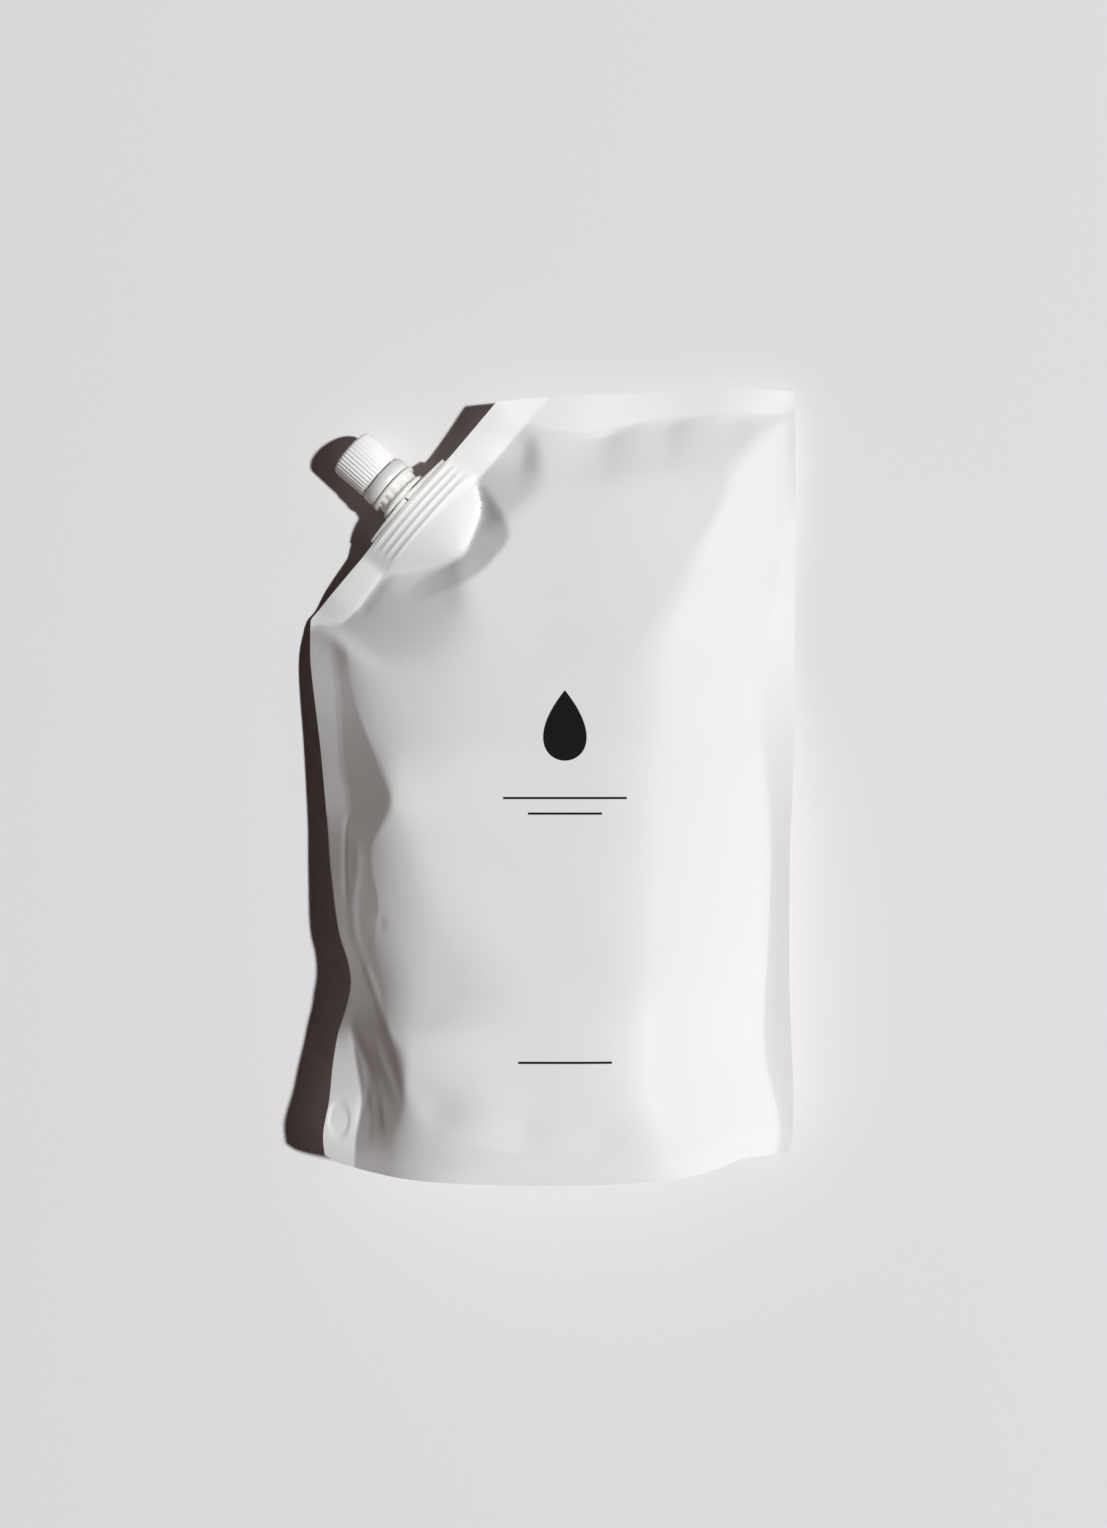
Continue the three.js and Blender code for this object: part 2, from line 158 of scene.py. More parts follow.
world = bpy.data.worlds.new("studio")
bpy.context.scene.world = world
world.use_nodes = True
nodes, links = world.node_tree.nodes, world.node_tree.links
nodes.clear()
fill = nodes.new("ShaderNodeBackground")
fill.inputs["Color"].default_value = (*FILL, 1)
pale = nodes.new("ShaderNodeBackground")
pale.inputs["Color"].default_value = (*BACKGROUND, 1)
either = nodes.new("ShaderNodeMixShader")
output = nodes.new("ShaderNodeOutputWorld")
links.new(seen_straight(world.node_tree), either.inputs["Fac"])
links.new(fill.outputs[0], either.inputs[1])
links.new(pale.outputs[0], either.inputs[2])
links.new(either.outputs[0], output.inputs["Surface"])
print(f"fill {FILL}, background {BACKGROUND}")

# %% [markdown]
# ## Floor
# The pouch lies on a plain pale table. A disc has no corner to show at the horizon, as a square
# would. What the table sends to the shaded film is warmer than it looks, so the mask from above
# gives it a second colour for that light.

# %% Floor
FLOOR_SIZE = 4.4
FLOOR_SIDES = 96
FLOOR_DROP = 0.0002
FLOOR_COLOUR = (0.82, 0.809, 0.819)
FLOOR_RETURN = (0.78, 0.69, 0.65)
FLOOR_ROUGHNESS = 0.9

floor_mesh = bpy.data.meshes.new("floor")
half = FLOOR_SIZE / 2
turns = [2 * math.pi * i / FLOOR_SIDES for i in range(FLOOR_SIDES)]
rim = [(half * math.cos(turn), half * math.sin(turn), -FLOOR_DROP) for turn in turns]
floor_mesh.from_pydata(rim, [], [tuple(range(FLOOR_SIDES))])
floor = bpy.data.objects.new("floor", floor_mesh)
bpy.context.scene.collection.objects.link(floor)
floor_paint = bpy.data.materials.new("floor")
floor_paint.use_nodes = True
tree = floor_paint.node_tree
floor_shader = tree.nodes["Principled BSDF"]
floor_tint = mix_colour(tree, seen_straight(tree), (*FLOOR_RETURN, 1), (*FLOOR_COLOUR, 1))
tree.links.new(floor_tint, floor_shader.inputs["Base Color"])
floor_shader.inputs["Roughness"].default_value = FLOOR_ROUGHNESS
floor_shader.inputs["Specular IOR Level"].default_value = 0.0
floor_mesh.materials.append(floor_paint)
print(f"floor disc {FLOOR_SIZE} m across")

# %% [markdown]
# ## Curves through a few points
# The edges and sections of the film are soft curves. They could be curve objects in Blender, but
# the film's grid needs them as numbers, so numpy reads a smooth curve through a few chosen
# stations. It is cut where the real edge has a corner.

# %% Curves through a few points
LINE_STEPS = 400


def through(knots, values, where):
    """Reads a smooth curve through a few stations at any places, in cubic pieces."""
    knots, values, where = (np.asarray(numbers, float) for numbers in (knots, values, where))
    slopes = np.gradient(values, knots)
    i = np.clip(np.searchsorted(knots, where) - 1, 0, len(knots) - 2)
    span = knots[i + 1] - knots[i]
    f = np.clip((where - knots[i]) / span, 0, 1)
    rise = f * f * (3 - 2 * f)
    return (
        values[i] * (1 - rise)
        + values[i + 1] * rise
        + slopes[i] * span * f * (1 - f) ** 2
        - slopes[i + 1] * span * f * f * (1 - f)
    )


def sections(rows, where):
    """Reads every column of a table of sections; the first column is the place of each section."""
    places, *columns = zip(*rows)
    return [through(places, column, where) for column in columns]


def smooth_line(points, shares, corners=()):
    """A curve through the points, sharp only at numbered corners, read at shares of its length."""
    points = np.array(points, float)
    stops = [0, *corners, len(points) - 1]
    fine = []
    for a, b in zip(stops, stops[1:]):
        piece = points[a : b + 1]
        steps = np.linalg.norm(np.diff(piece, axis=0), axis=1)
        knots = np.concatenate([[0], np.cumsum(steps)])
        where = np.linspace(0, knots[-1], LINE_STEPS)
        fine.append(np.stack([through(knots, piece[:, k], where) for k in (0, 1)], axis=1))
    fine = np.concatenate(fine)
    steps = np.linalg.norm(np.diff(fine, axis=0), axis=1)
    lengths = np.concatenate([[0], np.cumsum(steps)])
    even = shares * lengths[-1]
    return np.stack([np.interp(even, lengths, fine[:, k]) for k in (0, 1)], axis=1)


print(f"a curve from 0 to 2 is at {through([0, 1], [0, 2], 0.5):.1f} halfway")

# %% [markdown]
# ## The pouch's outline
# Seen from above, the film is a rectangle with one corner cut off for the spout. Its left edge is
# drawn in where the gusset begins, because the contents pull the weld inwards there. An edge gets a
# point only where it bends, and the curve does the rest.

# %% Edges of the film
SHOULDER = (-81.0, 55.4)
CUT_END = (-18.4, 126.4)
FOOT_LEFT = (-74.6, -121.0)
FOOT_RIGHT = (77.4, -120.4)
TOP_RIGHT = (80.6, 130.9)
LEFT_EDGE = [
    FOOT_LEFT, (-75.1, -116), (-73.2, -103), (-72, -90), (-70.4, -81), (-67.4, -71.5),
    (-66.3, -65.5), (-67.5, -57.5), (-69.7, -51), (-73, -31.5), (-74.8, -11.5), (-77.4, 15),
    (-79.1, 28), (-80.7, 42), SHOULDER,
]
RIGHT_EDGE = [
    FOOT_RIGHT, (78.5, -116), (78.9, -108), (78.3, -84), (77.7, -67), (77.8, -38), (78.2, -18),
    (79.2, -1.5), (80.5, 48), (80.9, 117), TOP_RIGHT,
]
BOTTOM_EDGE = [
    FOOT_LEFT, (-71, -123), (-66, -124.4), (-56, -125.8), (-46, -126.6), (-36, -127), (-17, -127.6),
    (2.5, -127.8), (22, -127.3), (32, -126.8), (41, -126), (50, -124.6), (56, -122.9), (61, -121.4),
    (70, -121), FOOT_RIGHT,
]
TOP_EDGE = [CUT_END, (-0.8, 128.4), (19, 129.4), (45.5, 130.9), (72, 131.3), TOP_RIGHT]
print(f"edges of {len(LEFT_EDGE)}, {len(RIGHT_EDGE)}, {len(BOTTOM_EDGE)} and {len(TOP_EDGE)} points")

# %% [markdown]
# ## The film's grid
# The four edges carry a grid: every grid point is a blend of the points across from it. A plain
# Grid object trimmed to the outline would have stairs along the slanted cut; this one keeps its
# lines along the welds, and closest on the left, where the folds are deepest.

# %% Film grid
ALONG = 244
FINE_CELLS = 44
FINE_SHARE = 0.13
PLAIN_CELLS = 132

fine_columns = np.linspace(0, FINE_SHARE, FINE_CELLS, endpoint=False)
across = np.concatenate([fine_columns, np.linspace(FINE_SHARE, 1, PLAIN_CELLS + 1)])
along = np.linspace(0, 1, ALONG + 1)
left = smooth_line([*LEFT_EDGE, CUT_END], along, corners=[len(LEFT_EDGE) - 1])
right = smooth_line(RIGHT_EDGE, along)
bottom = smooth_line(BOTTOM_EDGE, across)
top = smooth_line(TOP_EDGE, across)

u = across[None, :, None]
v = along[:, None, None]
sides = (1 - u) * left[:, None] + u * right[:, None] + (1 - v) * bottom[None] + v * top[None]
foot_corners = (1 - u) * (1 - v) * bottom[0] + u * (1 - v) * bottom[-1]
top_corners = (1 - u) * v * top[0] + u * v * top[-1]
plan = sides - foot_corners - top_corners
X, Y = plan[..., 0], plan[..., 1]
print(f"film grid of {X.size} points, {np.ptp(X):.1f} by {np.ptp(Y):.1f} mm")

# %% [markdown]
# ## How far each point is from each edge
# Near a weld a filled film lies almost flat, then it climbs, and then it levels off on the
# contents. So its shape is mostly told by the distance from each edge. Along the cut corner we also
# keep the place, counted from the middle of the spout.

# %% Distances
SPOUT_ORIGIN = np.array([-47.489, 93.631, 10.5])
SPOUT_AXIS = np.array([-0.74958, 0.65984, -0.05234])
SPOUT_ALONG = np.array([0.6607, 0.7506, 0.0])
SPOUT_UP = np.cross(SPOUT_ALONG, SPOUT_AXIS)
SPOUT_DROOP = -SPOUT_AXIS[2]

left_line = smooth_line(LEFT_EDGE, np.linspace(0, 1, LINE_STEPS))
from_left = X - np.interp(Y, left_line[:, 1], left_line[:, 0])
from_right = np.interp(Y, right[:, 1], right[:, 0]) - X
from_top = np.interp(X, top[:, 0], top[:, 1]) - Y
from_foot = Y - np.interp(X, bottom[:, 0], bottom[:, 1])
from_spout_x, from_spout_y = X - SPOUT_ORIGIN[0], Y - SPOUT_ORIGIN[1]
along_cut = from_spout_x * SPOUT_ALONG[0] + from_spout_y * SPOUT_ALONG[1]
from_cut = from_spout_x * SPOUT_ALONG[1] - from_spout_y * SPOUT_ALONG[0]
print(f"nearest point to the cut line {from_cut.min():.2f} mm")

# %% [markdown]
# ## Soft joins
# Where two slopes of a film meet, the change is round. A plain minimum would leave a crease; these
# helpers round it over a chosen width. The last one is the usual rise of a filled film: steep at
# the weld, level on the contents.

# %% Helpers for soft shapes
def soft_min(a, b, width):
    """The smaller of two fields, rounded over a change of about the width."""
    h = np.clip(0.5 + 0.5 * (b - a) / width, 0, 1)
    return b * (1 - h) + a * h - width * h * (1 - h)


def soft_max(a, b, width):
    """The larger of two fields, rounded in the same way."""
    return -soft_min(-a, -b, width)


def soft_step(x, start, end):
    """A rise from 0 at the start to 1 at the end, flat at both."""
    f = np.clip((x - start) / (end - start), 0, 1)
    return f * f * (3 - 2 * f)


def ease(distance, reach, power):
    """A rise that is steepest at 0 and levels off to 1 at its reach."""
    return 1 - (1 - np.clip(distance / reach, 0, 1)) ** power


print(f"halfway to its reach a square rise is at {ease(0.5, 1, 2):.2f}")

# %% [markdown]
# ## Climb from the left edge
# This side carries the look of the pouch: a weld, a steep wall in the shade, a bend, and a long
# tail up to the crown. A cloth simulation would fold somewhere else on every try, so the sections
# are listed one by one. A thin bead of film runs along the upper part of the weld.

# %% Climb from the left edge
# place, weld height, weld width and slope, wall width and slope, bend slope and length, tail slope
LEFT_SECTIONS = [
    (-122, 21.8, 10, 0.3, 13, 0.75, 0.3, 18, 0.4),
    (-114, 21.3, 11, 0.2, 13, 1.0, 0.5, 18, 0.35),
    (-100, 19.2, 10.3, 0.35, 15.4, 1.15, 0.5, 4, 0.3),
    (-85, 16.8, 6, 0.6, 16.5, 1.28, 0.5, 5, 0.22),
    (-77, 17.2, 3.5, 1.1, 13, 1.25, 0.55, 11, 0.3),
    (-70, 18.5, 3, 1.1, 10, 1.1, 0.6, 15, 0.35),
    (-55, 16.8, 5, 1.0, 6, 1.1, 0.65, 22, 0.35),
    (-40, 14, 5.5, 1.05, 10, 1.05, 0.5, 25, 0.25),
    (-20, 11.2, 8, 1.1, 7.5, 1.1, 0.65, 25, 0.2),
    (-4, 10, 8, 0.8, 15.6, 1.13, 0.3, 10, 0.15),
    (5, 9.5, 7, 0.8, 14, 1.1, 0.5, 8, 0.2),
    (18, 8.6, 7.5, 0.75, 9, 1.03, 0.45, 20, 0.2),
    (32, 7.5, 8.5, 0.65, 5, 0.9, 0.4, 14, 0.35),
    (45, 6, 8, 0.65, 5, 0.95, 0.3, 8, 0.4),
    (53, 5.2, 7, 0.6, 6, 0.75, 0.1, 25, 0.4),
]
LEFT_TAIL = 58
LEFT_BEAD_WIDTH = 0.55
LEFT_BEAD_HEIGHT = 0.13
LEFT_BEAD_FADES = ((-16, -6), (52, 44))

left_height, *left_shape = sections(LEFT_SECTIONS, Y)
weld_width, weld_slope, wall, wall_slope, bend_slope, bend_length, tail_slope = left_shape
inside = np.maximum(from_left, 0)
past = np.maximum(inside - weld_width - wall, 0)
bead = np.exp(-(((inside - weld_width) / LEFT_BEAD_WIDTH) ** 2))
for start, end in LEFT_BEAD_FADES:
    bead = bead * soft_step(Y, start, end)
left_rise = (
    weld_slope * np.minimum(inside, weld_width)
    + wall_slope * np.clip(inside - weld_width, 0, wall)
    + bend_slope * bend_length / 3 * ease(past, bend_length, 3)
    + tail_slope * LEFT_TAIL / 2 * ease(past, LEFT_TAIL, 2)
    + LEFT_BEAD_HEIGHT * bead
)
print(f"{len(LEFT_SECTIONS)} sections rise by up to {left_rise.max():.1f} mm")

# %% [markdown]
# ## Climbs from the other edges
# The right side is a long even swell behind a flat weld; the top and the cut corner are shorter
# climbs behind wide welds. Each is one rise with a reach and a power, so it needs fewer numbers
# than the left. The foot starts high, because the gusset holds it open.

# %% Climbs from the other edges
# place, weld height, weld width, reach, power, tilt of the weld
RIGHT_SECTIONS = [
    (-122, 20, 4.5, 94, 3.5, 0.1),
    (-112, 20, 5, 94, 3.5, 0.1),
    (-92, 20, 9.1, 94, 3.5, 0.1),
    (-51, 19, 7.4, 91, 3.4, 0.1),
    (-16, 16.8, 7, 80, 3.0, 0.06),
    (5, 15.2, 9.5, 69, 2.6, -0.12),
    (30, 12, 11, 53, 1.9, -0.34),
    (47, 10, 10, 42, 1.35, -0.46),
    (62, 8.6, 7, 36, 1.2, -0.45),
    (76, 7.6, 5, 31, 1.1, -0.38),
    (90, 7.2, 4, 24, 1.1, -0.2),
    (131, 7, 3, 18, 1.1, 0),
]
RIGHT_ROUND = 1.6
# place, weld height, weld width
TOP_SECTIONS = [
    (-18, 12.6, 9), (-9, 12.2, 8), (0, 12.2, 11), (10, 11.8, 12.5), (20, 10.6, 11.5), (30, 9.7, 10),
    (40, 9.3, 9.2), (50, 9.5, 8.8), (57, 9.7, 8.5), (65, 9.4, 8.2), (75, 8.2, 8), (81, 7.2, 6),
]
TOP_REACH = 24
TOP_POWER = 1.6
# place, weld height, weld width, reach, power, tilt of the weld
CUT_SECTIONS = [
    (-55, 4.5, 0, 58, 2.3, 0.5),
    (-51, 5.2, 3, 58, 2.3, 0.4),
    (-46, 6.0, 8.4, 58, 2.3, 0.28),
    (-39, 7.0, 10.2, 58, 2.3, 0.2),
    (-30, 8.4, 9.8, 56, 2.2, 0.17),
    (-20, 9.7, 9.2, 50, 2.1, 0.12),
    (0, 10.5, 10.5, 18, 1.8, 0),
    (18, 10.2, 12, 20, 1.4, -0.05),
    (43, 12.3, 12, 22, 1.3, -0.25),
]
FOOT_SHARE = 0.84
FOOT_REACH = 38

right_height, right_flange, right_reach, right_power, right_tilt = sections(RIGHT_SECTIONS, Y)
top_height, top_flange = sections(TOP_SECTIONS, X)
cut_height, cut_flange, cut_reach, cut_power, cut_tilt = sections(CUT_SECTIONS, along_cut)
past = from_right - right_flange
past = (past + np.hypot(past, RIGHT_ROUND)) / 2
right_climb = ease(past, right_reach, right_power)
top_climb = ease(from_top - top_flange, TOP_REACH, TOP_POWER)
cut_climb = ease(from_cut - cut_flange, cut_reach, cut_power)
foot_climb = FOOT_SHARE + (1 - FOOT_SHARE) * ease(from_foot, FOOT_REACH, 2)
print(f"right weld {right_flange.min():.1f} to {right_flange.max():.1f} mm wide")

# %% [markdown]
# ## The front panel
# The smallest climb wins, with a soft change from one to the next. That gives the long ridge from
# the upper right corner without drawing it. Heights go from the weld's own up to the crown, which
# is highest low down, where the soap collects. Tilted welds, a crease and a droop at the foot
# finish it.

# %% Front panel
CROWN_SECTIONS = [
    (-128, 47), (-112, 48.6), (-95, 49), (-70, 47.2), (-40, 42), (-10, 38.4), (20, 33.9), (50, 27.4),
    (76, 22), (96, 19), (131, 17),
]
CROWN_ROLL = 0.0009
CROWN_BLEND = 0.08
SIDE_BLEND = 0.16
END_BLEND = 0.1
SEAM_BLEND = 2
RIGHT_CREASE = 0.15
RIGHT_CREASE_WIDTH = 1.3
RIGHT_CREASE_FADE = (60, 40)
FOOT_WELD = 9.0
FOOT_DROOP = 0.6
FOOT_POWER = 1.5

seams = [
    (from_left, left_height), (from_right, right_height), (from_top, top_height), (from_cut, cut_height)
]
pulls = [1 / (np.maximum(distance, 0) ** 2 + SEAM_BLEND**2) for distance, _ in seams]
seam_height = sum(pull * height for pull, (_, height) in zip(pulls, seams)) / sum(pulls)
(crown,) = sections(CROWN_SECTIONS, Y)
crown = crown - CROWN_ROLL * np.maximum(X, 0) ** 2

climb = soft_min(left_rise / (crown - left_height), np.ones_like(X), CROWN_BLEND)
climb = soft_min(climb, right_climb, SIDE_BLEND)
climb = soft_min(climb, top_climb, SIDE_BLEND)
climb = soft_min(climb, cut_climb, END_BLEND)
climb = np.clip(soft_min(climb, foot_climb, END_BLEND), 0, 1)
front = seam_height + (crown - seam_height) * climb
front -= cut_tilt * np.clip(cut_flange - from_cut, 0, cut_flange)
front += right_tilt * np.clip(right_flange - from_right, 0, right_flange)
crease = np.exp(-(((from_right - right_flange) / RIGHT_CREASE_WIDTH) ** 2))
front -= RIGHT_CREASE * crease * soft_step(Y, *RIGHT_CREASE_FADE)
front -= FOOT_DROOP * np.clip(1 - from_foot / FOOT_WELD, 0, 1) ** FOOT_POWER
print(f"front panel rises to {front.max():.1f} mm")

# %% [markdown]
# ## Folds and dents
# A film can't stretch, so where it is pushed in two directions it buckles. Sculpting could do this,
# but a script can't repeat a brush stroke. So we place the buckles one by one: dents are soft
# hollows, and ridges follow a line and fade out at its ends.

# %% Helpers for dents and ridges
RIDGE_STEPS = 60
RIDGE_FADE = 0.2


def dent(centre, size, depth, turn):
    """How far a hollow lowers the film; its size is before and after its middle, and sideways."""
    before, after, sideways = size
    c, s = math.cos(math.radians(turn)), math.sin(math.radians(turn))
    dx, dy = X - centre[0], Y - centre[1]
    a, b = dx * c + dy * s, dy * c - dx * s
    return depth * np.exp(-((a / np.where(a < 0, before, after)) ** 2) - (b / sideways) ** 2)


def ridge(points, width, height):
    """How far a fold along a line lifts the film, with its ends faded out."""
    share = np.linspace(0, 1, RIDGE_STEPS)
    line = smooth_line(points, share)
    lift = np.zeros_like(X)
    ends = np.minimum(soft_step(share, 0, RIDGE_FADE), soft_step(1 - share, 0, RIDGE_FADE))
    for (x, y), end in zip(line, ends):
        near = ((X - x) ** 2 + (Y - y) ** 2) / width**2
        lift = np.maximum(lift, end * np.exp(-near))
    return height * lift


print(f"a ridge is followed in {RIDGE_STEPS} steps")

# %% Dents and ridges
# place, size, depth, turn
DENTS = [
    ((-10.5, 109.5), (12, 5, 8), 2.2, -10),
    ((-36, -104), (7, 9, 8), 0.8, 0),
    ((-82, 56), (8, 9, 8), 2.4, 0),
    ((-9, -110), (8, 6, 6), 0.6, 0),
    ((16, -112), (8, 8, 5), 0.4, 0),
    ((-55.5, -44.5), (2.5, 1.5, 2), 0.4, 0),
    ((-57, -108), (4, 3, 7), 0.5, 0),
]
TOP_DENTS = [
    ((17, 117), (11, 6, 14), 1.0, -8),
    ((38, 118), (7, 5, 10), 0.7, -4),
    ((60, 121), (9, 7, 8), 0.8, -30),
]
TOP_DENT_START = 2
FOOT_FOLD = [
    (-46.6, -105), (-36, -111), (-20, -115.6), (-1, -117.6), (21.6, -118), (41, -116.7), (51, -107)
]
# line, width, height
RIDGES = [
    ([(-65, -16), (-63.6, -24.5), (-64.3, -31), (-65.3, -38), (-64.8, -48), (-61, -59)], 1.5, 0.3),
    ([(-63, -54), (-56.2, -70.5), (-51.4, -82), (-48.3, -93), (-46.7, -105)], 1.3, 0.4),
    ([(-65.5, -7), (-67.6, -12), (-68.3, -20), (-68.2, -31), (-67.8, -40)], 0.9, -0.25),
    ([(-69, -76), (-65, -82), (-60.5, -91), (-60, -98), (-62, -107), (-61.5, -118)], 1.6, -0.3),
    (FOOT_FOLD, 1.3, 0.28),
    ([(-52.7, 72.7), (-58.4, 64.5), (-64.8, 55.7)], 2.0, -0.4),
    ([(-58, -82), (-55.2, -88.9), (-51.4, -97.4), (-49, -104)], 1.2, 0.25),
    ([(-65, -80), (-63.3, -84.2), (-58.1, -94.6), (-55, -103)], 2.2, -0.35),
    ([(-57, -95), (-54.8, -105), (-53.4, -113)], 1.3, 0.22),
    ([(-61, -100), (-59.6, -108), (-60, -116)], 1.5, -0.25),
    ([(-53, -61), (-46, -64.5), (-36, -68)], 1.0, 0.1),
]
below_weld = soft_step(from_top, top_flange, top_flange + TOP_DENT_START)
for row in DENTS:
    front -= dent(*row)
for row in TOP_DENTS:
    front -= dent(*row) * below_weld
for row in RIDGES:
    front += ridge(*row)
print(f"{len(DENTS) + len(TOP_DENTS)} dents and {len(RIDGES)} folds")

# %% [markdown]
# ## Spot weld and slack
# Low on the left a small oval spot weld is pressed in with a firm rim. The rest of the film isn't
# quite taut: a few slow waves keep the large surface from looking machined. They come from a seeded
# random generator, so every run gives the same film.

# %% Spot weld and slack
SPOT_PLACE = (-69.9, -109.5)
SPOT_SIZE = (3.3, 5.4)
SPOT_DEPTH = 0.4
SPOT_RIM = (1.14, 0.94)
SLACK_SEED = 7
SLACK_WAVES = 7
SLACK_HEIGHT = 0.09
SLACK_LENGTHS = (22, 60)

spot = np.hypot((X - SPOT_PLACE[0]) / SPOT_SIZE[0], (Y - SPOT_PLACE[1]) / SPOT_SIZE[1])
front -= SPOT_DEPTH * soft_step(spot, *SPOT_RIM)
draw = np.random.default_rng(SLACK_SEED)
for _ in range(SLACK_WAVES):
    turn = draw.uniform(0, math.pi)
    length = draw.uniform(*SLACK_LENGTHS)
    phase = draw.uniform(0, 2 * math.pi)
    place = X * math.cos(turn) + Y * math.sin(turn)
    front += SLACK_HEIGHT * np.sin(place * 2 * math.pi / length + phase) * climb
print(f"{SLACK_WAVES} slack waves of {SLACK_HEIGHT} mm")

# %% [markdown]
# ## The hollow behind the spout
# Behind the spout, which holds the two films apart, the film sinks into a hollow before the
# contents lift it again. From above, its shaded wall is a crescent. Each section says where the
# wall begins and ends, counted inwards from the cut, and how far it falls.

# %% Crescent behind the boat
# place along the cut, outer edge, inner edge, depth
CRESCENT_SECTIONS = [
    (-25, 24, 19, 0),
    (-16.6, 27.5, 20, 1.8),
    (-10.4, 31, 22.5, 3.4),
    (-3.2, 33.5, 24.5, 5.4),
    (5.4, 34, 22, 7.4),
    (10.8, 33.6, 17.7, 8.2),
    (14.7, 31, 14, 6.5),
    (17.1, 26, 11.5, 4.0),
    (20, 17.2, 10.5, 0),
]

outer, inner, depth = sections(CRESCENT_SECTIONS, along_cut)
front -= depth * np.clip((outer - from_cut) / (outer - inner), 0, 1)
print(f"the film falls {depth.max():.1f} mm into the crescent")

# %% [markdown]
# ## The film over the boat
# The spout's inner end is a boat: a flat lens with ribs, between the two films. The front film is
# drawn tight over it, so the ribs show. Behind it the film can only bend one way, so it makes a
# cone: straight lines run from the boat's arch to one point. We build that, and let the higher of
# cone and panel win.

# %% Film over the boat
BOAT_HALF = 20.0
BOAT_RISE = 6.75
BOAT_DEPTH = 9.4
BOAT_BLEND = 1.4
CONE_REACH = 16.2
CONE_UPPER = 1.2
CONE_LOWER = 1.05
CONE_LEAN = 2.6
CONE_RIM = 4.0
CONE_TIP = 0.04
RIB_PLACES = [1.2, 3.7, 6.15, 8.7]
RIB_HEIGHT = 0.42
RIB_WIDTH = 0.55
RIB_FADE = 2.5

behind = np.maximum(from_cut - BOAT_DEPTH, 0) / CONE_REACH
sideways = (along_cut + CONE_LEAN * behind) / BOAT_HALF
point = np.where(sideways > 0, CONE_UPPER, CONE_LOWER)
out = (np.abs(sideways) ** point + behind**point) ** (1 / point)
to_tip = np.maximum(1 - behind, CONE_TIP)
arch = 1 - ((out - 1 + to_tip) / to_tip) ** 2
ribs = sum(np.exp(-(((from_cut - place) / RIB_WIDTH) ** 2)) for place in RIB_PLACES)
lift = CONE_RIM * np.minimum(behind, 1) + BOAT_RISE * to_tip * arch
lift = lift + RIB_HEIGHT * ribs * np.clip(arch * RIB_FADE, 0, 1)
boat_plane = SPOUT_ORIGIN[2] + SPOUT_DROOP * from_cut
flat_front = front.copy()
front = soft_max(front, boat_plane + lift, BOAT_BLEND)
print(f"film over the boat stands {lift.max():.1f} mm above its middle")

# %% [markdown]
# ## The back panel
# The back starts at the same welds and drops to the table. So it follows the front, a film's
# thickness below, across the weld, and then leaves it until it lies flat. It lifts a little at the
# heel, and it goes round the boat's underside.

# %% Back panel
FILM = 0.35
LEFT_SEAL = 8.0
PARTING = 1.9
PARTING_BLEND = 4
TABLE_BLEND = 3
HEEL_RISE = 3.0
HEEL_REACH = 18.0
UNDER_BOAT_END = 2
UNDER_BOAT_BLEND = 1.2
LYING = 0.5

past_weld = soft_min(from_left - LEFT_SEAL, from_right - right_flange, PARTING_BLEND)
past_weld = soft_min(past_weld, from_top - top_flange, PARTING_BLEND)
past_weld = np.maximum(soft_min(past_weld, from_cut - cut_flange, PARTING_BLEND), 0)
heel = HEEL_RISE * np.clip(1 - from_foot / HEEL_REACH, 0, 1) ** 2
back = soft_max(heel, flat_front - FILM - PARTING * past_weld, TABLE_BLEND)
back = np.minimum(back, flat_front - FILM)
under_boat = soft_min(back, boat_plane - lift, UNDER_BOAT_BLEND)
back = np.where(from_cut < BOAT_DEPTH + UNDER_BOAT_END, under_boat, back)
back = np.maximum(np.minimum(back, front - FILM), 0)
print(f"back panel lies on the table over {np.mean(back < LYING) * 100:.0f}% of the outline")

# %% [markdown]
# ## The gusset
# At the foot a third film closes the pouch. It is folded inwards, and the contents push it out
# again into soft pleats. A section from the front weld to the back one says how far in it lies and
# how far down; where the foot is shut it lies flat.

# %% Gusset
GUSSET_ROWS = 26
GUSSET_IN = [0, 5, 9.5, 12.5, 9, 11.5, 9, 12.5, 9.5, 5, 0]
GUSSET_DROP = [0, 0.01, 0.05, 0.16, 0.36, 0.5, 0.64, 0.84, 0.95, 0.99, 1]
GUSSET_FULL = 30

share = np.linspace(0, 1, GUSSET_ROWS + 1)[1:-1]
stops = np.linspace(0, 1, len(GUSSET_IN))
inward = through(stops, GUSSET_IN, share)[:, None]
drop = through(stops, GUSSET_DROP, share)[:, None]
opening = front[0] - back[0]
pleat = inward * np.clip(opening / GUSSET_FULL, 0, 1)
gusset_x = np.broadcast_to(X[0], pleat.shape)
gusset = np.stack([gusset_x, Y[0] + pleat, front[0] - drop * opening], axis=-1)
print(f"gusset opens to {opening.max():.1f} mm")

# %% [markdown]
# ## One skin of film
# Front, back, gusset and the thin rims at the welds become one closed mesh that shares its points
# at the edges, so no light leaks through. Separate sheets would need their edges stitched
# afterwards. The mesh is smooth but for edges that are really sharp.

# %% Helpers for meshes
SHARP_ANGLE = math.radians(48)


def sheet_faces(index, flip):
    """Four-sided faces between the neighbours of a grid of point numbers."""
    corners = [index[:-1, :-1], index[:-1, 1:], index[1:, 1:], index[1:, :-1]]
    faces = np.stack(corners, axis=-1).reshape(-1, 4)
    return faces[:, ::-1] if flip else faces


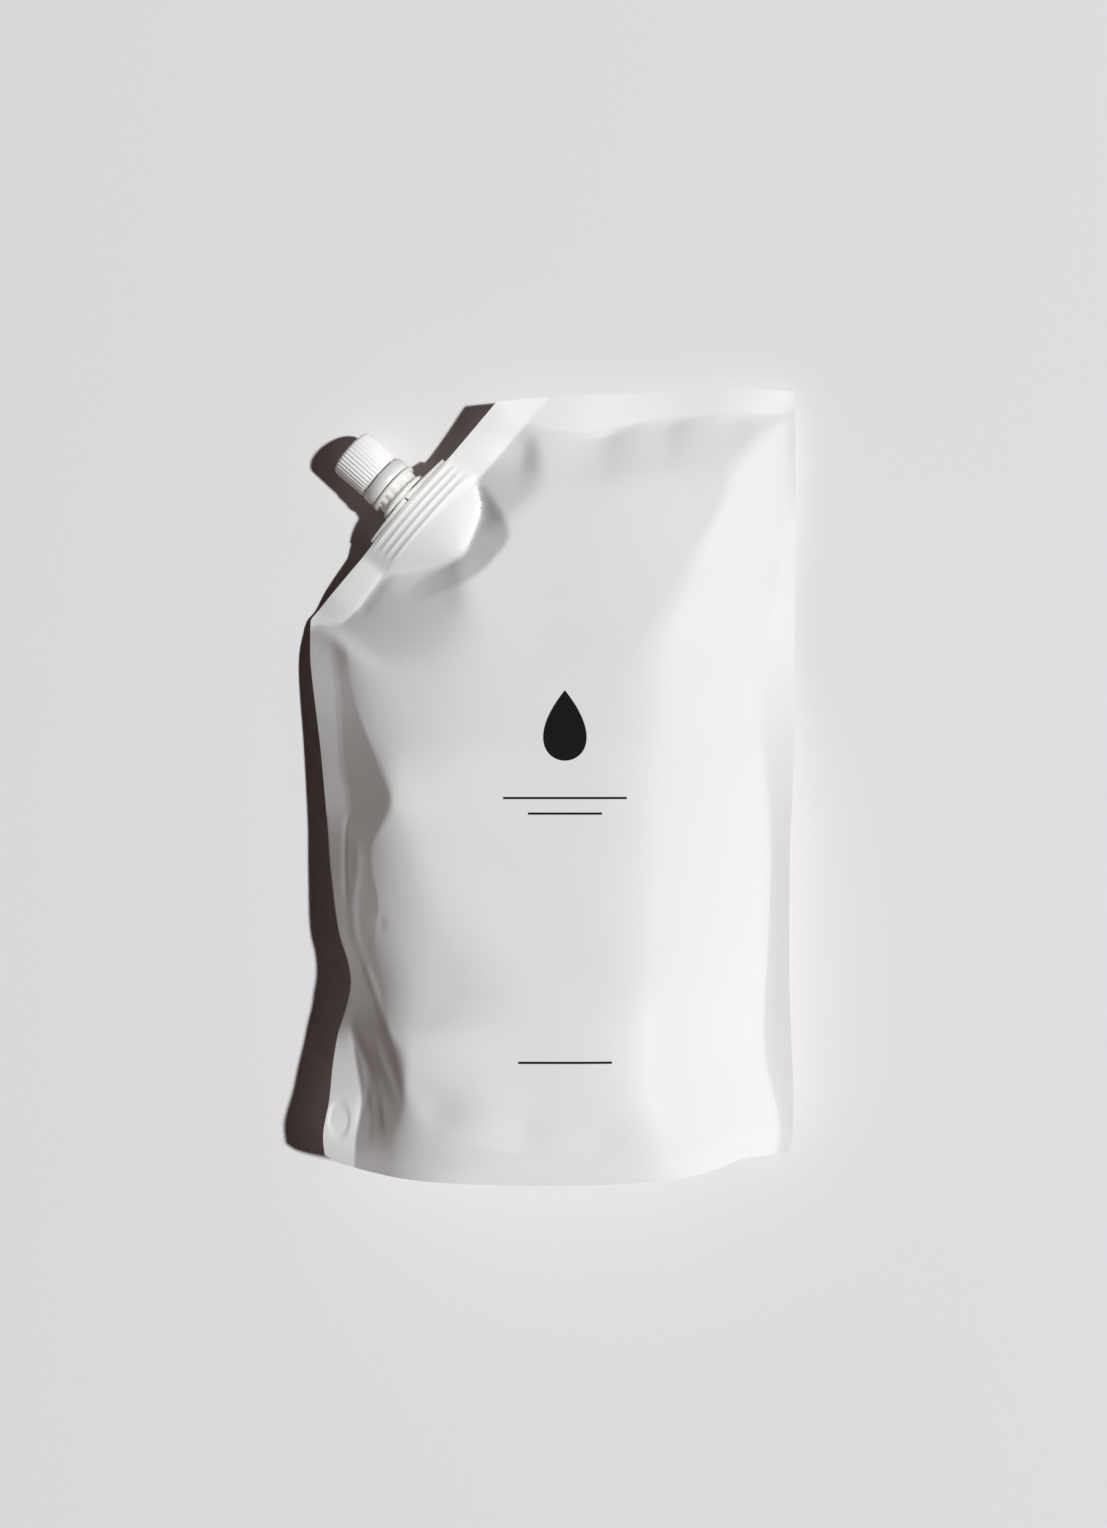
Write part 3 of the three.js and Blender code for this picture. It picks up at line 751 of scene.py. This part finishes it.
def new_piece(name, points, faces):
    """An object from points in millimetres, smooth but for its real edges."""
    mesh = bpy.data.meshes.new(name)
    mesh.from_pydata((np.asarray(points) * MM).tolist(), [], faces)
    mesh.validate()
    mesh.shade_smooth()
    mesh.set_sharp_from_angle(angle=SHARP_ANGLE)
    piece = bpy.data.objects.new(name, mesh)
    bpy.context.scene.collection.objects.link(piece)
    print(f"{name}: {len(mesh.vertices)} points, {len(mesh.polygons)} faces")
    return piece


print(f"edges over {math.degrees(SHARP_ANGLE):.0f} degrees stay sharp")

# %% Film mesh
front_points = np.stack([X, Y, front], axis=-1).reshape(-1, 3)
back_points = np.stack([X, Y, back], axis=-1).reshape(-1, 3)
front_index = np.arange(X.size).reshape(X.shape)
back_index = front_index + X.size
gusset_index = np.arange(gusset[..., 0].size).reshape(gusset.shape[:2]) + 2 * X.size
gusset_index = np.concatenate([front_index[:1], gusset_index, back_index[:1]])
sheets = [
    (front_index, False),
    (back_index, True),
    (gusset_index, True),
    (np.stack([front_index[:, 0], back_index[:, 0]]), False),
    (np.stack([front_index[:, -1], back_index[:, -1]]), True),
    (np.stack([front_index[-1], back_index[-1]]), True),
]
faces = np.concatenate([sheet_faces(index, flip) for index, flip in sheets])
points = np.concatenate([front_points, back_points, gusset.reshape(-1, 3)])
pouch = new_piece("film_pouch", points, faces.tolist())
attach(pouch, "pack")
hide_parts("pouch")

# %% [markdown]
# ## Marks for the finishes
# The welds are pressed whiter than the rest, and only the front is printed. An image would need a
# UV map; here each point of the mesh keeps a number, an attribute, which the materials read below.

# %% Marks for the finishes
WELD_EDGE = (-0.8, 0.4)
FOOT_WHITE = 0.25
FOOT_WHITE_EDGE = (-2, 1)

top_white = 1 - soft_step(from_top - top_flange, *WELD_EDGE)
cut_white = 1 - soft_step(from_cut - cut_flange, *WELD_EDGE)
foot_white = FOOT_WHITE - FOOT_WHITE * soft_step(from_foot - FOOT_WELD, *FOOT_WHITE_EDGE)
white_weld = np.maximum(np.maximum(top_white, cut_white), foot_white)
for name, field in (("weld", white_weld), ("front", np.ones_like(X))):
    layer = pouch.data.attributes.new(name, "FLOAT", "POINT")
    elsewhere = np.zeros(len(layer.data) - X.size)
    layer.data.foreach_set("value", np.concatenate([field.ravel(), elsewhere]))
print(f"white welds on {np.mean(white_weld > 0.5) * 100:.0f}% of the front's points")

# %% [markdown]
# ## Turned pieces
# The spout, the band, the cap and its liner are turned shapes: a profile swept round one axis. What
# isn't round, such as the lens, the ribs and the thread, is a change of radius with the angle. So
# each piece is one skin of rings without boolean cuts, which often leave thin faces.

# %% Rings round the spout's axis
def around(count, gather=0.0):
    """Angles round the axis, from up towards the cut's upper end, gathered at the boat's tips."""
    turn = np.linspace(0, 2 * math.pi, count, endpoint=False)
    return turn + gather * np.sin(2 * turn)


def turned_piece(name, angles, rings, start=None, end=None):
    """A closed skin of rings of (place along the axis, radius); start and end close it on the axis."""
    ones = np.ones_like(angles)
    points = []
    for station, radius in rings:
        radius = radius * ones
        points.append(np.stack([radius * np.sin(angles), station * ones, radius * np.cos(angles)], axis=1))
    local = np.concatenate(points)
    index = np.arange(len(local)).reshape(len(rings), len(angles))
    index = np.concatenate([index, index[:, :1]], axis=1)
    if start is None:
        index = np.concatenate([index, index[:1]])
    faces = sheet_faces(index, True).tolist()
    for pole, ring, flip in ((start, index[0], False), (end, index[-1], True)):
        if pole is None:
            continue
        local = np.concatenate([local, [[0, pole, 0]]])
        tip = len(local) - 1
        for a, b in zip(ring[:-1].tolist(), ring[1:].tolist()):
            faces.append([a, b, tip] if flip else [b, a, tip])
    placed = SPOUT_ORIGIN + local @ np.stack([SPOUT_ALONG, SPOUT_AXIS, SPOUT_UP])
    return new_piece(name, placed, faces)


print(f"the spout's axis droops by {math.degrees(math.asin(SPOUT_DROOP)):.1f} degrees")

# %% [markdown]
# ## Thread
# The cap is held by a right-hand thread of two turns. Blender's Screw modifier makes threads from a
# profile; here a formula gives the ridge's height at any place and angle, so the same one stands
# out from the neck and, half a pitch on, into the cap.

# %% Thread
THREAD_PITCH = 3.0
THREAD_TURNS = 2
THREAD_DEPTH = 0.85
THREAD_ROOT = 1.5
THREAD_FLANK = 0.35
THREAD_FADE = 0.12


def thread(station, angles, start):
    """The height of the thread's ridge at one place along the axis, for every angle."""
    turn = angles / (2 * math.pi)
    offset = station - start - THREAD_PITCH * turn
    aside = (offset + THREAD_PITCH / 2) % THREAD_PITCH - THREAD_PITCH / 2
    done = (offset - aside) / THREAD_PITCH + turn
    fade = soft_step(done, 0, THREAD_FADE) * soft_step(THREAD_TURNS - done, 0, THREAD_FADE)
    return THREAD_DEPTH * fade * np.clip((THREAD_ROOT / 2 - np.abs(aside)) / THREAD_FLANK, 0, 1)


print(f"thread of {THREAD_TURNS} turns, {THREAD_PITCH} mm each")

# %% [markdown]
# ## Spout
# One moulding of milky plastic: the ribbed boat, two flanges with a ribbed sleeve between them, a
# bead that holds the tamper band, a collar under the cap, the thread and the mouth. Through the
# mouth the same skin lines the bore back to the boat, so the spout is truly open.

# %% Boat and flanges
LENS_HALF = 17.5
LENS_THICK = 6.2
LENS_TIP = 0.6
FLANGE = 9.2
EDGE = 0.2
NEVER_ZERO = 1e-9


def lens(angles, grow):
    """Distance from the axis to the boat's lens-shaped wall, for every angle."""
    half, thick = LENS_HALF + grow, LENS_THICK + grow
    up, aside = np.abs(np.cos(angles)), np.abs(np.sin(angles)) + NEVER_ZERO
    bend = (thick - LENS_TIP) * (aside / half) ** 2
    reach = (-up + np.sqrt(up**2 + 4 * bend * thick)) / (2 * bend)
    return np.minimum(reach, half / aside)


def flange(start, end, inner, outer):
    """A round flange with softened edges, from one radius below it to another above."""
    lower = [(start, inner), (start, FLANGE - EDGE), (start + EDGE, FLANGE)]
    return lower + [(end - EDGE, FLANGE), (end, FLANGE - EDGE), (end, outer)]


print(f"boat {2 * LENS_HALF} mm long and {2 * LENS_THICK} mm thick")

# %% Spout
SPOUT_ANGLES = around(288, gather=0.42)
BOAT_FOOT = -8.2
BOAT_HEAD = 1.2
BOAT_RIBS = 5
BOAT_RIB = 0.5
BOAT_RIB_GAP = 0.05
BORE = 4.9
NECK = 6.0
NECK_END = 23.4
NECK_RIBS = 16
NECK_RIB = 0.5
NECK_RIB_MIDDLE = 0.5
NECK_RIB_STEEP = 1.3
NECK_SLEEVE = 7.5
LOWER_FLANGE = (1.9, 3.1)
UPPER_FLANGE = (6.3, 7.5)
SNAP_BEAD = 7.6
SNAP_START, SNAP_TOP, SNAP_END = 9.3, 9.9, 10.5
COLLAR = 7.6
COLLAR_START, COLLAR_END = 11.7, 12.7
COLLAR_LEAN = 0.1
THREAD_START = 15.0
THREAD_RUN_IN = 1.2
ROW = 0.2

rings = []
level = (BOAT_HEAD - BOAT_FOOT) / (2 * BOAT_RIBS - 1)
for i in range(2 * BOAT_RIBS - 1):
    wall = lens(SPOUT_ANGLES, BOAT_RIB if i % 2 == 0 else 0)
    start = BOAT_FOOT + i * level
    rings += [(start + BOAT_RIB_GAP, wall), (BOAT_FOOT + (i + 1) * level - BOAT_RIB_GAP, wall)]
waves = NECK_RIB_MIDDLE + NECK_RIB_STEEP * np.cos(NECK_RIBS * SPOUT_ANGLES)
sleeve = NECK_SLEEVE + NECK_RIB * np.clip(waves, 0, 1)
rings += [(BOAT_HEAD, NECK)]
rings += flange(*LOWER_FLANGE, NECK, sleeve)
rings += flange(*UPPER_FLANGE, sleeve, NECK)
rings += [(SNAP_START, NECK), (SNAP_START, SNAP_BEAD - EDGE), (SNAP_START + EDGE, SNAP_BEAD)]
rings += [(SNAP_TOP, SNAP_BEAD), (SNAP_END, NECK)]
low, high = COLLAR_START + COLLAR_LEAN, COLLAR_END - COLLAR_LEAN
rings += [(COLLAR_START, NECK), (low, COLLAR - EDGE), (low + EDGE, COLLAR)]
rings += [(high - EDGE, COLLAR), (high, COLLAR - EDGE), (COLLAR_END, NECK)]
for station in np.arange(THREAD_START - THREAD_RUN_IN, NECK_END - 2 * EDGE, ROW):
    rings.append((station, NECK + thread(station, SPOUT_ANGLES, THREAD_START)))
rings += [(NECK_END - EDGE, NECK), (NECK_END, NECK - EDGE), (NECK_END, BORE + EDGE)]
rings += [(NECK_END - EDGE, BORE), (BOAT_FOOT, BORE)]
spout = turned_piece("pour_spout", SPOUT_ANGLES, rings)
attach(spout, "pack")
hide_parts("spout")

# %% [markdown]
# ## Tamper band
# The ring under the cap stays on the neck when the cap is first turned and its thin bridges break;
# a lip inside holds it under the bead. It is a short tube of rings, and the bridges are places
# where its upper edge stands higher, so nothing has to be joined on.

# %% Tamper band
BAND_ANGLES = around(360)
BAND_START = 8.0
BAND_END = 12.2
BAND = 8.9
BAND_BORE = 7.9
BAND_LIP = 6.8
BAND_LIP_HEIGHT = 1
BRIDGES = 8
BRIDGE_HALF = 0.4
BRIDGE_HEIGHT = 0.3
BRIDGE_SOFT = 0.08
BRIDGE_INSET = 0.05

turn = (BAND_ANGLES + math.pi / BRIDGES) % (2 * math.pi / BRIDGES) - math.pi / BRIDGES
bridge_share = np.clip((BRIDGE_HALF + BRIDGE_SOFT - np.abs(turn) * BAND) / BRIDGE_SOFT, 0, 1)
bridge_top = BAND_END + BRIDGE_HEIGHT * bridge_share
lip_top = BAND_START + BAND_LIP_HEIGHT
rings = [(BAND_START, BAND_LIP), (BAND_START, BAND - EDGE), (BAND_START + EDGE, BAND)]
rings += [(BAND_END - EDGE, BAND), (BAND_END, BAND - EDGE), (bridge_top, BAND - EDGE - BRIDGE_INSET)]
rings += [(bridge_top, BAND_BORE + EDGE + BRIDGE_INSET), (BAND_END, BAND_BORE + EDGE)]
rings += [(BAND_END - EDGE, BAND_BORE), (lip_top, BAND_BORE), (lip_top, BAND_LIP)]
band = turned_piece("tamper_ring", BAND_ANGLES, rings)
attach(band, "pack")
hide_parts("tamper_band")

# %% [markdown]
# ## Cap
# A small screw cap with forty ribs, a plain skirt at its lower edge and a rounded top. Each rib is
# a wave in the radius that fades out over the rounding. Inside, the skin goes on down a real bore
# with the thread, because the cap can be lifted off and looked into.

# %% Cap
CAP_RIBS = 40
CAP_RIB = 0.4
CAP_RIB_POWER = 0.7
CAP_RIB_SIDES = 10
CAP_ANGLES = around(CAP_RIBS * CAP_RIB_SIDES)
CAP_START = 12.8
CAP_SKIRT = 0.5
CAP_RIB_START = 0.9
CAP_CEILING = 25.0
CAP_END = 26.1
CAP = 8.2
CAP_BORE = 7.15
CAP_ROUND = 1.3
CAP_ROUND_STEPS = 9
DISC_SHARE = 0.5

knurl = CAP_RIB * (0.5 + 0.5 * np.cos(CAP_RIBS * CAP_ANGLES)) ** CAP_RIB_POWER
groove = THREAD_START + THREAD_PITCH / 2
rings = [(CAP_CEILING, DISC_SHARE * CAP_BORE), (CAP_CEILING, CAP_BORE - EDGE)]
rings += [(CAP_CEILING - EDGE, CAP_BORE)]
for station in np.arange(CAP_CEILING - 2 * ROW, CAP_START + EDGE, -ROW):
    rings.append((station, CAP_BORE - thread(station, CAP_ANGLES, groove)))
rings += [(CAP_START, CAP_BORE + EDGE), (CAP_START, CAP - EDGE), (CAP_START + EDGE, CAP)]
rings += [(CAP_START + CAP_SKIRT, CAP), (CAP_START + CAP_RIB_START, CAP + knurl)]
rings += [(CAP_END - CAP_ROUND, CAP + knurl)]
for step in np.linspace(0, math.pi / 2, CAP_ROUND_STEPS)[1:]:
    fading = knurl * (1 - step / (math.pi / 2))
    radius = CAP - CAP_ROUND * (1 - math.cos(step)) + fading
    rings.append((CAP_END - CAP_ROUND * (1 - math.sin(step)), radius))
rings.append((CAP_END, DISC_SHARE * CAP))
cap = turned_piece("ribbed_cap", CAP_ANGLES, rings, start=CAP_CEILING, end=CAP_END)
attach(cap, "screw_cap")
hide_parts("cap")

# %% [markdown]
# ## Liner
# A soft foam disc inside the cap seals the mouth of the spout. It is a plain disc with softened
# edges, seen only when the cap is off, so a few rings closed on the axis are enough.

# %% Liner
LINER = 6.65
LINER_START = 23.7
LINER_END = 24.7
LINER_SIDES = 96

rings = [(LINER_START, DISC_SHARE * LINER), (LINER_START, LINER - EDGE), (LINER_START + EDGE, LINER)]
rings += [(LINER_END - EDGE, LINER), (LINER_END, LINER - EDGE), (LINER_END, DISC_SHARE * LINER)]
liner = turned_piece("foam_liner", around(LINER_SIDES), rings, start=LINER_START, end=LINER_END)
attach(liner, "liner")
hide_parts("cap_liner")

# %% [markdown]
# ## Slow change of tone
# No moulded or rolled plastic is one flat colour: its thickness and its handling vary slowly. All
# the pieces share this, so it is one node group, with sockets for what differs. A Noise texture
# mixes a second shade into the colour by some amount.

# %% Slow change of tone
TONE_DETAIL = 4


def new_group(name, inputs, outputs):
    """A shader node group with named sockets, and its input and output nodes."""
    group = bpy.data.node_groups.new(name, "ShaderNodeTree")
    for sockets, way in ((inputs, "INPUT"), (outputs, "OUTPUT")):
        for socket, kind in sockets.items():
            group.interface.new_socket(name=socket, in_out=way, socket_type="NodeSocket" + kind)
    return group, group.nodes.new("NodeGroupInput").outputs, group.nodes.new("NodeGroupOutput").inputs


def noise(tree, scale, detail):
    """A Noise texture that keeps its place on the object; gives its output."""
    coordinates = tree.nodes.new("ShaderNodeTexCoord")
    node = tree.nodes.new("ShaderNodeTexNoise")
    node.inputs["Detail"].default_value = detail
    tree.links.new(coordinates.outputs["Object"], node.inputs["Vector"])
    tree.links.new(scale, node.inputs["Scale"])
    return node.outputs["Fac"]


tone, given, made = new_group(
    "slow_tone",
    {"Colour": "Color", "Shade": "Color", "Scale": "Float", "Amount": "Float"},
    {"Colour": "Color", "Mask": "Float"},
)
cloud = noise(tone, given["Scale"], TONE_DETAIL)
share = math_node(tone, "MULTIPLY", cloud, given["Amount"])
tone.links.new(mix_colour(tone, share, given["Colour"], given["Shade"]), made["Colour"])
tone.links.new(cloud, made["Mask"])
print("group", tone.name, "with", len(tone.nodes), "nodes")

# %% [markdown]
# ## Fine grain
# Close up, film has the grain of its roller and mouldings that of their tool. It is too fine for
# geometry, so a second group gives a height for bump and a roughness that varies with it.

# %% Fine grain
GRAIN_DETAIL = 3

grain, given, made = new_group(
    "fine_grain",
    {"Scale": "Float", "Gloss Low": "Float", "Gloss High": "Float"},
    {"Height": "Float", "Roughness": "Float"},
)
speck = noise(grain, given["Scale"], GRAIN_DETAIL)
spread = grain.nodes.new("ShaderNodeMapRange")
grain.links.new(speck, spread.inputs["Value"])
grain.links.new(given["Gloss Low"], spread.inputs["To Min"])
grain.links.new(given["Gloss High"], spread.inputs["To Max"])
grain.links.new(speck, made["Height"])
grain.links.new(spread.outputs["Result"], made["Roughness"])
print("group", grain.name, "with", len(grain.nodes), "nodes")

# %% [markdown]
# ## A plastic from the shared groups
# Every material here is a Principled shader with the two groups wired in. One function makes them
# all, so a change reaches every piece. What is the same all over a surface, such as how far light
# goes under it, is set on the shader itself.

# %% A plastic from the shared groups
RELIEF_STRENGTH = 0.4


def place_group(tree, group, **values):
    """A node that uses a group, with its plain values set."""
    node = tree.nodes.new("ShaderNodeGroup")
    node.node_tree = group
    for name, value in values.items():
        node.inputs[name.replace("_", " ")].default_value = value
    return node


def plastic(name, colour, shade, tone_scale, tone_amount, grain_scale, gloss, bump):
    """A material with both shared effects; gives the material, its shader and its tone node."""
    material = bpy.data.materials.new(name)
    material.use_nodes = True
    tree = material.node_tree
    shader = tree.nodes["Principled BSDF"]
    colours = {"Colour": (*colour, 1), "Shade": (*shade, 1)}
    toned = place_group(tree, tone, **colours, Scale=tone_scale, Amount=tone_amount)
    grained = place_group(tree, grain, Scale=grain_scale, Gloss_Low=gloss[0], Gloss_High=gloss[1])
    relief = tree.nodes.new("ShaderNodeBump")
    relief.inputs["Strength"].default_value = RELIEF_STRENGTH
    relief.inputs["Distance"].default_value = bump
    tree.links.new(toned.outputs["Colour"], shader.inputs["Base Color"])
    tree.links.new(grained.outputs["Roughness"], shader.inputs["Roughness"])
    tree.links.new(grained.outputs["Height"], relief.inputs["Height"])
    tree.links.new(relief.outputs["Normal"], shader.inputs["Normal"])
    print("material", name)
    return material, shader, toned


def let_light_in(shader, weight, radius, depth):
    """Lets light go a little way under a surface, by a depth in metres."""
    shader.inputs["Subsurface Weight"].default_value = weight
    shader.inputs["Subsurface Radius"].default_value = radius
    shader.inputs["Subsurface Scale"].default_value = depth


print(f"relief at {RELIEF_STRENGTH} of its full strength")

# %% [markdown]
# ## Moulded plastics
# The spout and the band are natural polyethylene: milky, so that light goes a few millimetres in.
# The cap is a whiter, denser plastic, and the liner is a dull foam. The height of the bump is in
# metres.

# %% Moulded plastics
milky_plastic, milky_shader, _ = plastic(
    "milky_spout",
    colour=(0.93, 0.92, 0.895),
    shade=(0.88, 0.865, 0.83),
    tone_scale=160,
    tone_amount=0.8,
    grain_scale=900,
    gloss=(0.28, 0.4),
    bump=0.00004,
)
let_light_in(milky_shader, 0.9, (1.0, 1.0, 1.0), 0.003)
spout.data.materials.append(milky_plastic)
band.data.materials.append(milky_plastic)

cap_plastic, cap_shader, _ = plastic(
    "white_cap",
    colour=(0.93, 0.928, 0.92),
    shade=(0.89, 0.886, 0.872),
    tone_scale=140,
    tone_amount=0.6,
    grain_scale=1100,
    gloss=(0.36, 0.48),
    bump=0.00003,
)
let_light_in(cap_shader, 0.35, (1.0, 0.95, 0.88), 0.002)
cap.data.materials.append(cap_plastic)

foam, _, _ = plastic(
    "liner_foam",
    colour=(0.74, 0.735, 0.72),
    shade=(0.66, 0.655, 0.63),
    tone_scale=300,
    tone_amount=0.9,
    grain_scale=2600,
    gloss=(0.7, 0.9),
    bump=0.00012,
)
liner.data.materials.append(foam)

# %% [markdown]
# ## White weld
# Heat and pressure clear the air from between the films, so a weld is a little whiter than the rest.
# The group reads the number that the mesh keeps for this and mixes the weld's colour in by it.

# %% White weld
weld, given, made = new_group(
    "white_weld", {"Colour": "Color", "Weld Colour": "Color"}, {"Colour": "Color"}
)
where = weld.nodes.new("ShaderNodeAttribute")
where.attribute_name = "weld"
whiter = mix_colour(weld, where.outputs["Fac"], given["Colour"], given["Weld Colour"])
weld.links.new(whiter, made["Colour"])
print("group", weld.name, "with", len(weld.nodes), "nodes")

# %% [markdown]
# ## Printed drop and rules
# The front is printed in black with a drop and three thin rules. An image would be the usual way;
# shapes this simple can be worked out from the place on the film, and stay sharp at any size. Each
# is a distance inside its outline, turned into ink with a soft edge.

# %% Printed drop and rules
DROP_PLACE = (4.0, 8.0)
DROP_HEIGHT = 23.0
DROP_WIDTH = 0.805
RULES = [(-4.0, 40.0), (-9.0, 24.0), (-88.0, 30.0)]
RULE_HALF = 0.45
INK_EDGE = 0.15

ink, _, made = new_group("printed_marks", {}, {"Mask": "Float"})
coordinates = ink.nodes.new("ShaderNodeTexCoord")
split = ink.nodes.new("ShaderNodeSeparateXYZ")
ink.links.new(coordinates.outputs["Object"], split.inputs["Vector"])


def ink_math(operation, *values):
    """A Math node in the group of printed marks."""
    return math_node(ink, operation, *values)


def inked(inside):
    """A mask that is 1 where a distance in metres is positive, with a soft printed edge."""
    mask = ink_math("DIVIDE", inside, INK_EDGE * MM)
    mask.node.use_clamp = True
    return mask


from_middle = ink_math("ABSOLUTE", ink_math("SUBTRACT", split.outputs["X"], DROP_PLACE[0] * MM))
up = ink_math("SUBTRACT", split.outputs["Y"], DROP_PLACE[1] * MM)
up = ink_math("DIVIDE", up, DROP_HEIGHT * MM)
up = ink_math("MINIMUM", ink_math("MAXIMUM", up, 0.0), 1.0)
half_width = ink_math("MULTIPLY", ink_math("SQRT", up), ink_math("SUBTRACT", 1.0, up))
half_width = ink_math("MULTIPLY", half_width, DROP_WIDTH * DROP_HEIGHT * MM)
marks = inked(ink_math("SUBTRACT", half_width, from_middle))
for height, length in RULES:
    off_line = ink_math("ABSOLUTE", ink_math("SUBTRACT", split.outputs["Y"], height * MM))
    thin = inked(ink_math("SUBTRACT", RULE_HALF * MM, off_line))
    short = inked(ink_math("SUBTRACT", length / 2 * MM, from_middle))
    marks = ink_math("MAXIMUM", marks, ink_math("MULTIPLY", thin, short))
side = ink.nodes.new("ShaderNodeAttribute")
side.attribute_name = "front"
ink.links.new(ink_math("MULTIPLY", marks, side.outputs["Fac"]), made["Mask"])
print(f"a drop {DROP_HEIGHT} mm high and {len(RULES)} rules")

# %% [markdown]
# ## Film
# The film is matt white with a faint sheen: a low specular level with a middling roughness. The
# shared tone comes first, the welds whiten it, and the print lies on top, along one chain of nodes.

# %% Film
INK_COLOUR = (0.012, 0.011, 0.012)
WELD_COLOUR = (0.88, 0.879, 0.88)
FILM_SPECULAR = 0.035

film, film_shader, film_tone = plastic(
    "white_film",
    colour=(0.820, 0.818, 0.819),
    shade=(0.797, 0.794, 0.795),
    tone_scale=45,
    tone_amount=0.8,
    grain_scale=1400,
    gloss=(0.31, 0.36),
    bump=0.00002,
)
film_shader.inputs["Specular IOR Level"].default_value = FILM_SPECULAR
tree = film.node_tree
welded = place_group(tree, weld, Weld_Colour=(*WELD_COLOUR, 1))
printed = place_group(tree, ink)
tree.links.new(film_tone.outputs["Colour"], welded.inputs["Colour"])
inks = mix_colour(tree, printed.outputs["Mask"], welded.outputs["Colour"], (*INK_COLOUR, 1))
tree.links.new(inks, film_shader.inputs["Base Color"])
pouch.data.materials.append(film)
